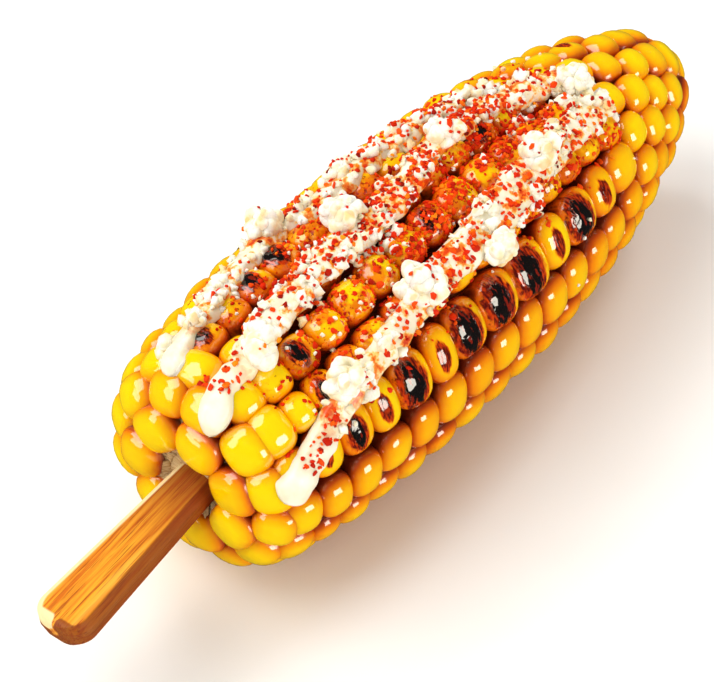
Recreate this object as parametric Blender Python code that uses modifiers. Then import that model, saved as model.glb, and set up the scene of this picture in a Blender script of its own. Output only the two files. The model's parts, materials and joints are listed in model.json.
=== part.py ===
"""Elote: a grilled ear of corn on a flat wooden stick, dressed with bands of crema and lumps of fresh cheese.

The ear lies on its side, dressing up. It is modelled along +X from the middle of its butt, with the
stick towards -X. Angles round the ear are measured from its top line, +Z, and grow towards +Y. At the
end everything is moved so that the origin is the middle of the underside.
"""

import math
import random

import bmesh
import bpy
import numpy as np
from mathutils import Matrix, Vector, noise

# The ear, over its kernels (metres).
EAR_LENGTH = 0.163
EAR_RADIUS = 0.029
WIDEST_AT = 0.38  # fraction of the length, from the butt
BUTT_BULGE, BUTT_BLUNTNESS = 1.6, 0.113
TIP_BULGE, TIP_BLUNTNESS = 2.0, 0.49
RESTING_HEIGHT = 0.0277  # from the ear's axis down to the flats that it lies on
OUTLINE_STEPS = 4001
NORMAL_REACH = 0.0004  # each way along the outline, to read its direction

# The kernels: rows along the ear, each slid a little against its neighbours.
ROWS = 16
KERNELS_IN_ROW = 18
FACETS_ACROSS = 3
FACETS_ALONG = 3
ROW_GROOVE = 0.0026
KERNEL_GROOVE = 0.0017
KERNEL_UNEVENNESS = 0.00025
ROW_SLIDE = 0.18  # of a kernel
ROW_SLIDE_STEP = 2.4  # radians of a sine from row to row
BUTT_OPENING_RADIUS = 0.0085

# The cob inside, bare at the butt.
COB_RADIUS = 0.0165
COB_BUTT_RADIUS = 0.0081
COB_FACE_AT = 0.0012
COB_FACE_EDGE = 0.004  # how far its narrow butt runs in before it swells
COB_TIP_INSET = 0.009
COB_SWELL = 0.6  # power of the sine that its neck follows; lower is fuller
COB_NOSE_STEPS = 10
COB_SEGMENTS = 16

# The stick.
STICK_OUTSIDE = 0.0387
STICK_INSIDE = 0.045
STICK_END_WIDTH = 0.0124
STICK_INNER_WIDTH = 0.0054
STICK_THICKNESS = 0.0058
STICK_EDGE = 0.0010
STICK_CORNER = 0.0044
STICK_CORNER_STEPS = 5
STICK_POINT = 0.006  # length of its blunt inner point
STICK_POINT_SHARE = 0.35  # of the width, at the point's end
STICK_OFF_AXIS = Vector((0, -0.0008, -0.0010))
STICK_DROOP = math.radians(5.5)
STICK_SWAY = math.radians(-1.6)

# The dressing. Each station of a band is its millimetres along the ear, its degrees from the top line
# and the band's half width there in millimetres.
BAND_RINGS, BAND_FACETS = 24, 7
BAND_END = 0.05  # fraction of the route that rounds each end
TONGUE_SWELL = 0.35
BAND_LIFT = 0.0008  # its middle, above the kernels' crowns
BAND_CROWN = 0.0012  # from its middle up
BAND_DIP = 0.0022  # from its middle down, between the kernels
CREMA_BANDS = {
    "crema_front": (
        (3, -71, 2.9),
        (7, -64.5, 2.9),
        (13, -57, 2.8),
        (23, -49, 2.7),
        (36, -44.5, 2.9),
        (50, -38, 3.3),
        (67, -36, 3.8),
        (82, -32, 4.2),
        (100, -29, 3.8),
        (110, -29, 3.2),
        (120, -27.5, 2.6),
    ),
    "crema_top": (
        (0.8, -19, 2.5),
        (6, -11, 2.4),
        (12, -10, 2.7),
        (24, -5, 2.9),
        (40, -2, 3.3),
        (55, -3, 3.6),
        (68, 1, 3.1),
        (82, 6, 3.0),
        (96, 5, 2.7),
        (106, 0, 3.0),
        (114, -4, 2.9),
        (120, -8, 2.4),
    ),
    "crema_back": (
        (4, 15.5, 2.0),
        (10, 21, 2.1),
        (20, 23, 2.4),
        (31, 28, 2.6),
        (43, 30, 2.8),
        (52, 24, 2.8),
        (66, 24, 3.0),
        (80, 22, 2.8),
        (98, 20, 2.4),
    ),
}

# Cheese lumps as large as berries: (millimetres along, degrees from the top, radius in millimetres).
CHEESE_FACETS = 2
CHEESE_ROUGHNESS = 0.55
CHEESE_GRAIN = 1.9  # knobs over a lump's radius
CHEESE_SINK = 0.25  # how much flatter a lump is where it sits
CHEESE_SEAT = 0.15  # of its radius: its middle, above the crema
CHEESE_LUMPS = {
    "cheese_1": (16.1, -11.0, 4.3),
    "cheese_2": (23.5, -43.0, 4.0),
    "cheese_3": (48.1, -35.5, 4.5),
    "cheese_4": (50.1, 3.4, 4.2),
    "cheese_5": (92.4, -28.4, 4.1),
    "cheese_6": (69.1, -43.0, 3.3),
    "cheese_7": (81.5, 3.5, 3.2),
    "cheese_8": (116.5, -12.5, 3.5),
    "cheese_9": (41.7, 29.0, 3.5),
}

# Neighbours keep this gap. The kernels' copies that cut the dressing grow by more, which keeps the
# dressing in the grooves.
GAP = 0.0003
KERNEL_CLEARANCE = 0.0005

PARTS = bpy.data.collections.new("Elote")
CUTTERS = bpy.data.collections.new("Cutters")


def clear_scene():
    for obj in list(bpy.data.objects):
        bpy.data.objects.remove(obj, do_unlink=True)
    for collection in (PARTS, CUTTERS):
        bpy.context.scene.collection.children.link(collection)


def material(name, color, roughness):
    """A food or wood finish: Principled, never metallic."""
    result = bpy.data.materials.new(name)
    result.use_nodes = True
    shader = result.node_tree.nodes["Principled BSDF"]
    shader.inputs["Base Color"].default_value = (*color, 1)
    shader.inputs["Roughness"].default_value = roughness
    shader.inputs["Metallic"].default_value = 0
    result.diffuse_color = (*color, 1)
    return result


def add_object(name, mesh, collection, finish=None):
    obj = bpy.data.objects.new(name, mesh)
    collection.objects.link(obj)
    if finish:
        mesh.materials.append(finish)
    if collection is CUTTERS:
        obj.hide_render = True
        obj.display_type = "WIRE"
    return obj


def mesh_from(work, name):
    """Closes a bmesh into a mesh whose faces point outwards, shaded smooth."""
    bmesh.ops.recalc_face_normals(work, faces=work.faces)
    if work.calc_volume(signed=True) < 0:
        bmesh.ops.reverse_faces(work, faces=work.faces)
    mesh = bpy.data.meshes.new(name)
    work.to_mesh(mesh)
    work.free()
    mesh.shade_smooth()
    return mesh


def cut(obj, cutter):
    modifier = obj.modifiers.new("Clear of " + cutter.name, "BOOLEAN")
    modifier.operation = "DIFFERENCE"
    modifier.solver = "EXACT"
    modifier.object = cutter


def ear_radius(along):
    """The kernels' outer radius at a fraction of the length: a blunt butt, a belly and a tapering tip."""
    towards_butt = max(0.0, (WIDEST_AT - along) / WIDEST_AT)
    towards_tip = max(0.0, (along - WIDEST_AT) / (1 - WIDEST_AT))
    butt = max(0.0, 1 - towards_butt**BUTT_BULGE) ** BUTT_BLUNTNESS
    tip = max(0.0, 1 - towards_tip**TIP_BULGE) ** TIP_BLUNTNESS
    return EAR_RADIUS * butt * tip


def ear_outline():
    """The outline from the butt's middle to the tip: x, radius and the length run so far.

    Its points are packed towards both ends, where the outline turns fast."""
    turn = np.linspace(0, math.pi, OUTLINE_STEPS)
    along = 0.5 - 0.5 * np.cos(turn)
    x = EAR_LENGTH * along
    radius = np.array([ear_radius(value) for value in along])
    length = np.concatenate([[0], np.cumsum(np.hypot(np.diff(x), np.diff(radius)))])
    return x, radius, length


OUTLINE_X, OUTLINE_RADIUS, OUTLINE_LENGTH = ear_outline()


def on_outline(fraction):
    """x, radius and outward normal at a fraction of the outline's own length."""
    at = fraction * OUTLINE_LENGTH[-1]
    places = [at - NORMAL_REACH, at, at + NORMAL_REACH]
    x = np.interp(places, OUTLINE_LENGTH, OUTLINE_X)
    radius = np.interp(places, OUTLINE_LENGTH, OUTLINE_RADIUS)
    forward = Vector((x[2] - x[0], radius[2] - radius[0])).normalized()
    return x[1], radius[1], Vector((-forward.y, forward.x))


def ear_point(x, angle, radius):
    return Vector((x, radius * math.sin(angle), radius * math.cos(angle)))


def kernels_mesh(name, growth=0.0):
    """A ball whose rings and meridians become the kernels' crowns and grooves.

    Each kernel is three facets each way: a groove and two on its crown. Its quads are split alike at
    any growth, so that a grown copy is nowhere inside the true one."""
    meridians = ROWS * FACETS_ACROSS
    rings = KERNELS_IN_ROW * FACETS_ALONG
    work = bmesh.new()
    bmesh.ops.create_uvsphere(work, u_segments=meridians, v_segments=rings, radius=1)
    chance = random.Random(7)
    heights = [[chance.uniform(-1, 1) for _ in range(KERNELS_IN_ROW + 1)] for _ in range(ROWS)]
    for vertex in work.verts:
        ring = round(math.acos(max(-1.0, min(1.0, vertex.co.z))) / math.pi * rings)
        meridian = round(math.atan2(vertex.co.y, vertex.co.x) / math.tau * meridians) % meridians
        row = meridian // FACETS_ACROSS
        slid_as = row - 0.5 if meridian % FACETS_ACROSS == 0 else row
        in_row_groove = meridian % FACETS_ACROSS == 0
        in_kernel_groove = ring % FACETS_ALONG == 0
        room = min(1.0, ring / FACETS_ALONG, (rings - ring) / FACETS_ALONG)
        slide = ROW_SLIDE * math.sin(ROW_SLIDE_STEP * slid_as)
        fraction = (ring + slide * FACETS_ALONG * room) / rings
        x, radius, normal = on_outline(min(1.0, fraction))
        depth = math.hypot(ROW_GROOVE * in_row_groove, KERNEL_GROOVE * in_kernel_groove)
        height = KERNEL_UNEVENNESS * heights[row][ring // FACETS_ALONG]
        rise = (height - depth) * room * min(1.0, radius / (0.5 * EAR_RADIUS)) + growth
        angle = math.tau * meridian / meridians
        vertex.co = ear_point(x + normal.x * rise, angle, max(0.0, radius + normal.y * rise))
    bmesh.ops.triangulate(work, faces=work.faces, quad_method="FIXED")
    return mesh_from(work, name)


def cob_profile(growth=0.0, butt_reach=0.0, butt_radius=COB_BUTT_RADIUS):
    """Half outline of the cob, tip to butt: an elliptical nose, a long swell and a narrowed butt."""
    nose_at = EAR_LENGTH - COB_TIP_INSET
    belly_at = WIDEST_AT * EAR_LENGTH
    points = []
    for step in range(COB_NOSE_STEPS + 1):
        turn = math.pi / 2 * step / COB_NOSE_STEPS
        from_nose = (nose_at - belly_at) * (1 - math.cos(turn))
        points.append((nose_at + growth - from_nose, COB_RADIUS * math.sin(turn)))
    for fraction in (0.7, 0.45, 0.25, 0.12):
        swell = math.sin(math.pi / 2 * fraction) ** COB_SWELL
        neck = COB_BUTT_RADIUS + (COB_RADIUS - COB_BUTT_RADIUS) * swell
        points.append((COB_FACE_AT + (belly_at - COB_FACE_AT) * fraction, neck))
    grown = [(x, radius + growth if radius > 1e-6 else 0.0) for x, radius in points]
    face_at = COB_FACE_AT - butt_reach
    return grown + [(COB_FACE_AT + COB_FACE_EDGE, butt_radius), (face_at, butt_radius), (face_at, 0.0)]


def turned(name, profile, segments, collection, finish=None):
    """Turns a profile of (x, radius) about the X axis with a Screw modifier."""
    mesh = bpy.data.meshes.new(name)
    points = [(x, 0, radius) for x, radius in profile]
    lines = [(i, i + 1) for i in range(len(points) - 1)]
    mesh.from_pydata(points, lines, [])
    obj = add_object(name, mesh, collection, finish)
    screw = obj.modifiers.new("Turn", "SCREW")
    screw.axis = "X"
    screw.steps = segments
    screw.render_steps = segments
    screw.use_merge_vertices = True
    screw.merge_threshold = 0.00001
    screw.use_smooth_shade = True
    return obj


def stick_direction():
    level = math.cos(STICK_DROOP)
    return Vector((-level * math.cos(STICK_SWAY), level * math.sin(STICK_SWAY), -math.sin(STICK_DROOP)))


def stick_mesh(name, growth=0.0):
    """A flat tapered bar along +X from its outer end, which has round corners, to a blunt point."""
    length = STICK_OUTSIDE + STICK_INSIDE
    half_end = STICK_END_WIDTH / 2
    half_inner = STICK_INNER_WIDTH / 2
    side = []
    for step in range(STICK_CORNER_STEPS + 1):
        turn = math.pi / 2 * step / STICK_CORNER_STEPS
        back = STICK_CORNER * (1 - math.sin(turn))
        out = half_end - STICK_CORNER * (1 - math.cos(turn))
        side.insert(0, Vector((back, out)))
    side += [Vector((length - STICK_POINT, half_inner)), Vector((length, half_inner * STICK_POINT_SHARE))]
    outline = [(p.x, p.y + growth) for p in side]
    outline[-1] = (outline[-1][0] + growth, outline[-1][1])
    outline += [(x, -y) for x, y in reversed(outline)]
    half_thick = STICK_THICKNESS / 2 + growth
    work = bmesh.new()
    corners = [work.verts.new((x, y, -half_thick)) for x, y in outline]
    face = work.faces.new(corners)
    top = bmesh.ops.extrude_face_region(work, geom=[face])["geom"]
    rising = [item for item in top if isinstance(item, bmesh.types.BMVert)]
    bmesh.ops.translate(work, verts=rising, vec=(0, 0, 2 * half_thick))
    return mesh_from(work, name)


def place_stick(obj):
    """The stick enters just below the butt's middle, with its outer end down the tilted direction."""
    along = -stick_direction()
    across = Vector((0, 0, 1)).cross(along).normalized()
    upward = along.cross(across)
    turn = Matrix((along, across, upward)).transposed().to_4x4()
    outer_end = STICK_OFF_AXIS + stick_direction() * STICK_OUTSIDE
    obj.matrix_world = Matrix.Translation(outer_end) @ turn


def smooth_route(stations, fraction):
    """A Catmull-Rom curve through the stations, at a fraction of their count."""
    points = [Vector(station) for station in stations]
    points = [2 * points[0] - points[1]] + points + [2 * points[-1] - points[-2]]
    at = fraction * (len(stations) - 1)
    first = min(int(at), len(stations) - 2)
    t = at - first
    a, b, c, d = points[first : first + 4]
    return 0.5 * (2 * b + (c - a) * t + (2 * a - 5 * b + 4 * c - d) * t**2 + (3 * b - a - 3 * c + d) * t**3)


def band_mesh(name, stations, growth=0.0):
    """A ball drawn out along a route on the ear: its poles are the band's round tongue ends."""
    work = bmesh.new()
    bmesh.ops.create_uvsphere(work, u_segments=BAND_FACETS, v_segments=BAND_RINGS, radius=1)
    for vertex in work.verts:
        fraction = max(0.0, min(1.0, (1 - vertex.co.z) / 2))
        x, degrees, half_width = smooth_route(stations, fraction)
        turn = math.atan2(vertex.co.y, vertex.co.x)
        into_end = 1 - min(1.0, fraction / BAND_END, (1 - fraction) / BAND_END)
        end = math.sqrt(1 - into_end**2)
        tongue = TONGUE_SWELL * math.exp(-(((fraction - BAND_END) / BAND_END) ** 2))
        width = (half_width / 1000 * (1 + tongue) + growth) * end
        depth = BAND_CROWN if math.sin(turn) > 0 else BAND_DIP
        rise = BAND_LIFT + (depth + growth) * math.sin(turn) * end
        radius = ear_radius(x / 1000 / EAR_LENGTH)
        angle = math.radians(degrees) + width * math.cos(turn) / radius
        vertex.co = ear_point(x / 1000, angle, radius + rise)
    return mesh_from(work, name)


def cheese_mesh(name, x, degrees, size):
    """A crumbled lump: a ball with broken, uneven faces, a little flattened where it sits."""
    work = bmesh.new()
    bmesh.ops.create_icosphere(work, subdivisions=CHEESE_FACETS, radius=1)
    angle = math.radians(degrees)
    outward = Vector((0, math.sin(angle), math.cos(angle)))
    radius = size / 1000
    seat = ear_radius(x / 1000 / EAR_LENGTH) + BAND_LIFT + BAND_CROWN
    centre = ear_point(x / 1000, angle, seat + CHEESE_SEAT * radius)
    for vertex in work.verts:
        broken = 1 + CHEESE_ROUGHNESS * noise.noise(vertex.co * CHEESE_GRAIN + Vector((x, degrees, 0)))
        flattened = vertex.co - CHEESE_SINK * outward * vertex.co.dot(outward)
        vertex.co = centre + flattened * radius * broken
    return mesh_from(work, name)


def resting_cutter():
    """A slab under the ear whose top shaves the lowest kernels to the flats that it lies on."""
    work = bmesh.new()
    bmesh.ops.create_cube(work, size=1)
    bmesh.ops.scale(work, verts=work.verts, vec=(2 * EAR_LENGTH, 4 * EAR_RADIUS, EAR_RADIUS))
    bmesh.ops.translate(work, verts=work.verts, vec=(EAR_LENGTH / 2, 0, -RESTING_HEIGHT - EAR_RADIUS / 2))
    return add_object("Table plane", mesh_from(work, "Table plane"), CUTTERS)


def make_stick():
    stick = add_object("stick", stick_mesh("stick"), PARTS, material("Stick wood", (0.72, 0.33, 0.07), 0.5))
    bevel = stick.modifiers.new("Eased edges", "BEVEL")
    bevel.width = STICK_EDGE
    bevel.segments = 2
    bevel.limit_method = "ANGLE"
    bevel.angle_limit = math.radians(40)
    place_stick(stick)
    return stick


def make_cob():
    cob = turned("cob", cob_profile(), COB_SEGMENTS, PARTS, material("Cob", (0.56, 0.38, 0.17), 0.8))
    pocket = add_object("Stick pocket", stick_mesh("Stick pocket", GAP), CUTTERS)
    place_stick(pocket)
    cut(cob, pocket)
    return cob


def make_kernels():
    kernels = add_object(
        "kernels", kernels_mesh("kernels"), PARTS, material("Kernels", (0.93, 0.58, 0.02), 0.3)
    )
    hollow = turned("Cob hollow", cob_profile(GAP, 0.010, BUTT_OPENING_RADIUS), COB_SEGMENTS, CUTTERS)
    cut(kernels, hollow)
    cut(kernels, resting_cutter())
    return kernels


def make_dressing():
    """The crema sits in the grooves between the kernels, and the cheese sits in the crema."""
    grown_kernels = add_object("Grown kernels", kernels_mesh("Grown kernels", KERNEL_CLEARANCE), CUTTERS)
    crema = material("Crema", (0.93, 0.90, 0.80), 0.35)
    cheese = material("Fresh cheese", (0.90, 0.84, 0.66), 0.8)
    made = []
    grown_bands = []
    for name, stations in CREMA_BANDS.items():
        obj = add_object(name, band_mesh(name, stations), PARTS, crema)
        cut(obj, grown_kernels)
        made.append(obj)
        grown = band_mesh(name + " grown", stations, growth=GAP)
        grown_bands.append(add_object(name + " grown", grown, CUTTERS))
    for name, (x, degrees, size) in CHEESE_LUMPS.items():
        obj = add_object(name, cheese_mesh(name, x, degrees, size), PARTS, cheese)
        for grown in grown_bands:
            cut(obj, grown)
        cut(obj, grown_kernels)
        made.append(obj)
    return made


def stand_on_ground(made):
    """Parents everything to one empty, which puts the origin at the middle of the underside."""
    anchor = bpy.data.objects.new("Elote anchor", None)
    PARTS.objects.link(anchor)
    graph = bpy.context.evaluated_depsgraph_get()
    corners = []
    for obj in made:
        placed = obj.evaluated_get(graph)
        corners += [placed.matrix_world @ Vector(corner) for corner in placed.bound_box]
    low = Vector(min(corner[axis] for corner in corners) for axis in range(3))
    high = Vector(max(corner[axis] for corner in corners) for axis in range(3))
    anchor.location = (-(low.x + high.x) / 2, -(low.y + high.y) / 2, -low.z)
    for obj in made + list(CUTTERS.objects):
        obj.parent = anchor


def main():
    clear_scene()
    made = [make_cob(), make_kernels(), make_stick()] + make_dressing()
    stand_on_ground(made)


main()
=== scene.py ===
# %% [markdown]
# # Dressing an elote
#
# An elote is an ear of corn, grilled whole on a stick, then dressed with crema, crumbled fresh
# cheese and chili flakes. This lesson builds it the way a cook does: first the cob, then every
# kernel in its row, then the dressing on top. The measured model that it loads gives each part's
# place and size, and nothing here moves it.
#
# All lengths are in metres. A place on the ear is given by how far along it lies, from the butt,
# and by its angle from the ear's top line, which grows towards +Y.

# %% Open the measured model
import json
import math

import bpy
import numpy as np
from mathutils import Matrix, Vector
from mathutils.bvhtree import BVHTree

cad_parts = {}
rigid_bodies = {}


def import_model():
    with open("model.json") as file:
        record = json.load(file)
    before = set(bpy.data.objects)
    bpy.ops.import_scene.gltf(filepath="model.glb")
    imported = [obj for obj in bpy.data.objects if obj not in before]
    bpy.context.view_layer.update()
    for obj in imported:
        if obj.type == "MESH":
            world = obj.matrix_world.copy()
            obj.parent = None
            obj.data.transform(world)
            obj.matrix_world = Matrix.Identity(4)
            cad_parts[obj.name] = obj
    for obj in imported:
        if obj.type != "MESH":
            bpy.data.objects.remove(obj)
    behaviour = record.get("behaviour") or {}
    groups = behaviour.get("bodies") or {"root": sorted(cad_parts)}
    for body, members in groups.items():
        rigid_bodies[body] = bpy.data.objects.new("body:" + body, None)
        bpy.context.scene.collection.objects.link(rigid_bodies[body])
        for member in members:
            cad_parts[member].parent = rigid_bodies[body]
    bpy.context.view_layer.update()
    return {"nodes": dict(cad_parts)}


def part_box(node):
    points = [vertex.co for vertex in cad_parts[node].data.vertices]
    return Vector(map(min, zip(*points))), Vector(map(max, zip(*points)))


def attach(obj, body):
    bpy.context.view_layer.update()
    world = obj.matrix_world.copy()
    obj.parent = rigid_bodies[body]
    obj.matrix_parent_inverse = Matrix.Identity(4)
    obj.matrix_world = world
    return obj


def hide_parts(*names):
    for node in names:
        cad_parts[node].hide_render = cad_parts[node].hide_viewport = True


for leftover in list(bpy.data.objects):
    bpy.data.objects.remove(leftover, do_unlink=True)
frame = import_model()
print("measured nodes:", ", ".join(sorted(frame["nodes"])))

# %% [markdown]
# ## The ear's outline
#
# Everything on the ear is placed from one outline: a blunt butt, a belly and a tapering tip. It
# could be drawn as a curve and turned, but a formula gives the radius anywhere, for whole arrays
# of places at once, and the kernels need it hundreds of times.

# %% The ear's outline as a formula
MM = 0.001
COB_FACE_INSET, COB_TIP_INSET = 1.2 * MM, 9 * MM
WIDEST_AT = 0.38
BUTT_BULGE, BUTT_BLUNTNESS = 1.6, 0.113
TIP_BULGE, TIP_BLUNTNESS = 2.0, 0.49
CROWNS_STAND_OUT = 0.27 * MM  # the real crowns, beyond the flat facets of the measured kernels

cob_low, cob_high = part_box("cob")
kernels_low, kernels_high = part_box("kernels")
AXIS = Vector((cob_low.x - COB_FACE_INSET, (cob_low.y + cob_high.y) / 2, (cob_low.z + cob_high.z) / 2))
EAR_LENGTH = cob_high.x + COB_TIP_INSET - AXIS.x
EAR_RADIUS = (kernels_high.y - kernels_low.y) / 2 + CROWNS_STAND_OUT


def outline_radius(x):
    """The radius at a distance along: two factors, one for each end. Each is one minus a power of
    the way from the belly to that end, the whole raised to that end's bluntness."""
    along = np.clip(x / EAR_LENGTH, 0, 1)
    to_butt = np.clip((WIDEST_AT - along) / WIDEST_AT, 0, 1)
    to_tip = np.clip((along - WIDEST_AT) / (1 - WIDEST_AT), 0, 1)
    butt_factor = (1 - to_butt**BUTT_BULGE) ** BUTT_BLUNTNESS
    tip_factor = (1 - to_tip**TIP_BULGE) ** TIP_BLUNTNESS
    return EAR_RADIUS * butt_factor * tip_factor


STEPS = 6001
table_x = EAR_LENGTH * (0.5 - 0.5 * np.cos(np.linspace(0, math.pi, STEPS)))
table_radius = outline_radius(table_x)
table_length = np.concatenate([[0], np.cumsum(np.hypot(np.diff(table_x), np.diff(table_radius)))])
OUTLINE_LENGTH = table_length[-1]
print(f"ear {EAR_LENGTH / MM:.1f} mm long and {2 * EAR_RADIUS / MM:.1f} mm thick")
print(f"its outline is {OUTLINE_LENGTH / MM:.0f} mm long")

# %% Places and directions on the ear
OUTLINE_SOFTNESS = 1.5 * MM


def length_at(x):
    """The length of the outline from the butt's middle to a distance along the ear."""
    return np.interp(x, table_x, table_length)


def x_at(length):
    """The distance along the ear at a length along its outline."""
    return np.interp(length, table_length, table_x)


def radius_at(length):
    """The outline's radius at a length along it."""
    return np.interp(length, table_length, table_radius)


def wrapped(angle):
    """The same direction as an angle between -pi and pi."""
    return np.angle(np.exp(1j * angle))


def round_axis(x, radius, angle):
    """Places at a distance along the ear, a radius from its axis and an angle from its top line."""
    x, radius, angle = np.broadcast_arrays(x, radius, angle)
    return np.stack([AXIS.x + x, AXIS.y + radius * np.sin(angle), AXIS.z + radius * np.cos(angle)], -1)


def ear_frame(length, angle):
    """A place on the outline at a length from the butt's middle, turned to an angle, and three
    directions there: along the row, round the ear and outwards. The slope is taken over a short
    step, so that directions turn gently at the butt's edge."""
    before, after = length - OUTLINE_SOFTNESS, length + OUTLINE_SOFTNESS
    run, rise = x_at(after) - x_at(before), radius_at(after) - radius_at(before)
    size = np.hypot(run, rise)
    run, rise = run / size, rise / size
    sine, cosine, zero = np.sin(angle), np.cos(angle), np.zeros_like(angle * length)
    along = np.stack([run + zero, rise * sine, rise * cosine], -1)
    around = np.stack([zero, cosine + zero, -sine + zero], -1)
    outward = np.stack([-rise + zero, run * sine, run * cosine], -1)
    return round_axis(x_at(length), radius_at(length), angle), along, around, outward


# %% [markdown]
# ## Arrays into meshes
#
# Each shape below is worked out as whole arrays: points first, then the faces as lists of point
# numbers. One helper puts them into a mesh, checks that the faces look outwards by the sign of the
# volume that they enclose, and ties the piece to the measured model.

# %% From arrays to a finished piece
def mesh_from(name, points, quads, triangles=()):
    """Fills a mesh with quads, then triangles, all turned round if their volume is negative."""
    points = np.asarray(points, float).reshape(-1, 3)
    quads = np.asarray(quads, np.int32).reshape(-1, 4)
    triangles = np.asarray(triangles, np.int32).reshape(-1, 3)
    halves = np.concatenate([quads[:, [0, 1, 2]], quads[:, [0, 2, 3]], triangles])
    corners = points[halves] - points.mean(0)
    volume = np.einsum("ij,ij->", corners[:, 0], np.cross(corners[:, 1], corners[:, 2])) / 6
    if volume < 0:
        quads, triangles = quads[:, ::-1], triangles[:, ::-1]
    mesh = bpy.data.meshes.new(name)
    mesh.vertices.add(len(points))
    mesh.vertices.foreach_set("co", points.astype(np.float32).ravel())
    order = np.concatenate([quads.ravel(), triangles.ravel()])
    mesh.loops.add(len(order))
    mesh.loops.foreach_set("vertex_index", order)
    mesh.polygons.add(len(quads) + len(triangles))
    starts = [np.arange(len(quads)) * 4, quads.size + np.arange(len(triangles)) * 3]
    mesh.polygons.foreach_set("loop_start", np.concatenate(starts).astype(np.int32))
    mesh.update(calc_edges=True)
    mesh.shade_smooth()
    return mesh


def tell(mesh, name, values):
    """Stores one number or one vector for each point, for the finish to read."""
    values = np.asarray(values, np.float32)
    kind, field = ("FLOAT_VECTOR", "vector") if values.ndim == 2 else ("FLOAT", "value")
    mesh.attributes.new(name, kind, "POINT").data.foreach_set(field, values.ravel())


def add_piece(mesh, finish, stands_for=(), smooth=0):
    """Makes the piece: its finish, its rounding, the body that it rides on and what it replaces."""
    piece = bpy.data.objects.new(mesh.name, mesh)
    bpy.context.scene.collection.objects.link(piece)
    mesh.materials.append(finish)
    if smooth:
        rounding = piece.modifiers.new("Rounding", "SUBSURF")
        rounding.levels = smooth
        rounding.render_levels = smooth
    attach(piece, "root")
    if stands_for:
        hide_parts(*stands_for)
    print(f"{piece.name}: {len(mesh.polygons)} faces")
    return piece


def full_turn(turns):
    """Equal steps of angle round a circle, as one row of a grid."""
    return np.linspace(0, 2 * math.pi, turns, endpoint=False)[None, :]


def ball_faces(turns, rings):
    """Faces of a ball whose points are rings of `turns` points between two poles, the poles last."""
    ring = np.arange(rings - 1)[:, None] * turns
    here = np.arange(turns)[None, :]
    there = (here + 1) % turns
    corners = [ring + here, ring + there, ring + turns + there, ring + turns + here]
    quads = np.stack(corners, -1).reshape(-1, 4)
    first_pole, last_pole = rings * turns, rings * turns + 1
    here, there = here.ravel(), there.ravel()
    first = np.stack([there, here, np.full(turns, first_pole)], -1)
    last_ring = (rings - 1) * turns
    last = np.stack([last_ring + here, last_ring + there, np.full(turns, last_pole)], -1)
    return quads, np.concatenate([first, last])


def ball_directions(turns, rings):
    """Unit directions of that ball: its poles lie along the first axis."""
    tilt = np.linspace(0, math.pi, rings + 2)[1:-1, None]
    turn = full_turn(turns)
    level, across = np.cos(tilt) + 0 * turn, np.sin(tilt)
    body = np.stack([level, across * np.cos(turn), across * np.sin(turn)], -1)
    return np.concatenate([body.reshape(-1, 3), [[1, 0, 0], [-1, 0, 0]]])


def repeated(faces, size, count):
    """The same faces for `count` copies of a shape of `size` points."""
    first_point = size * np.arange(count)[:, None, None]
    return (np.asarray(faces)[None] + first_point).reshape(-1, np.shape(faces)[-1])


def balls_mesh(name, points, turns, rings):
    """One mesh of many balls, or of one tube closed by its poles: points are given ball by ball."""
    count, size, _ = points.shape
    quads, triangles = ball_faces(turns, rings)
    return mesh_from(name, points, repeated(quads, size, count), repeated(triangles, size, count))


def with_poles(grid, poles):
    """A tube's grid of values, ring by ring, as one list that ends with those of its two poles."""
    return np.concatenate([grid.reshape(-1, grid.shape[-1]), poles])


# %% [markdown]
# ## Writing finishes as sums
#
# A finish is a tree of nodes. Wiring it by hand hides what it computes, so a small class wraps an
# output socket and lets Python's own operators add the Math nodes. Colours go through Mix nodes,
# because a Math node would turn them grey. Any other node comes from the one method `node`.

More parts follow.
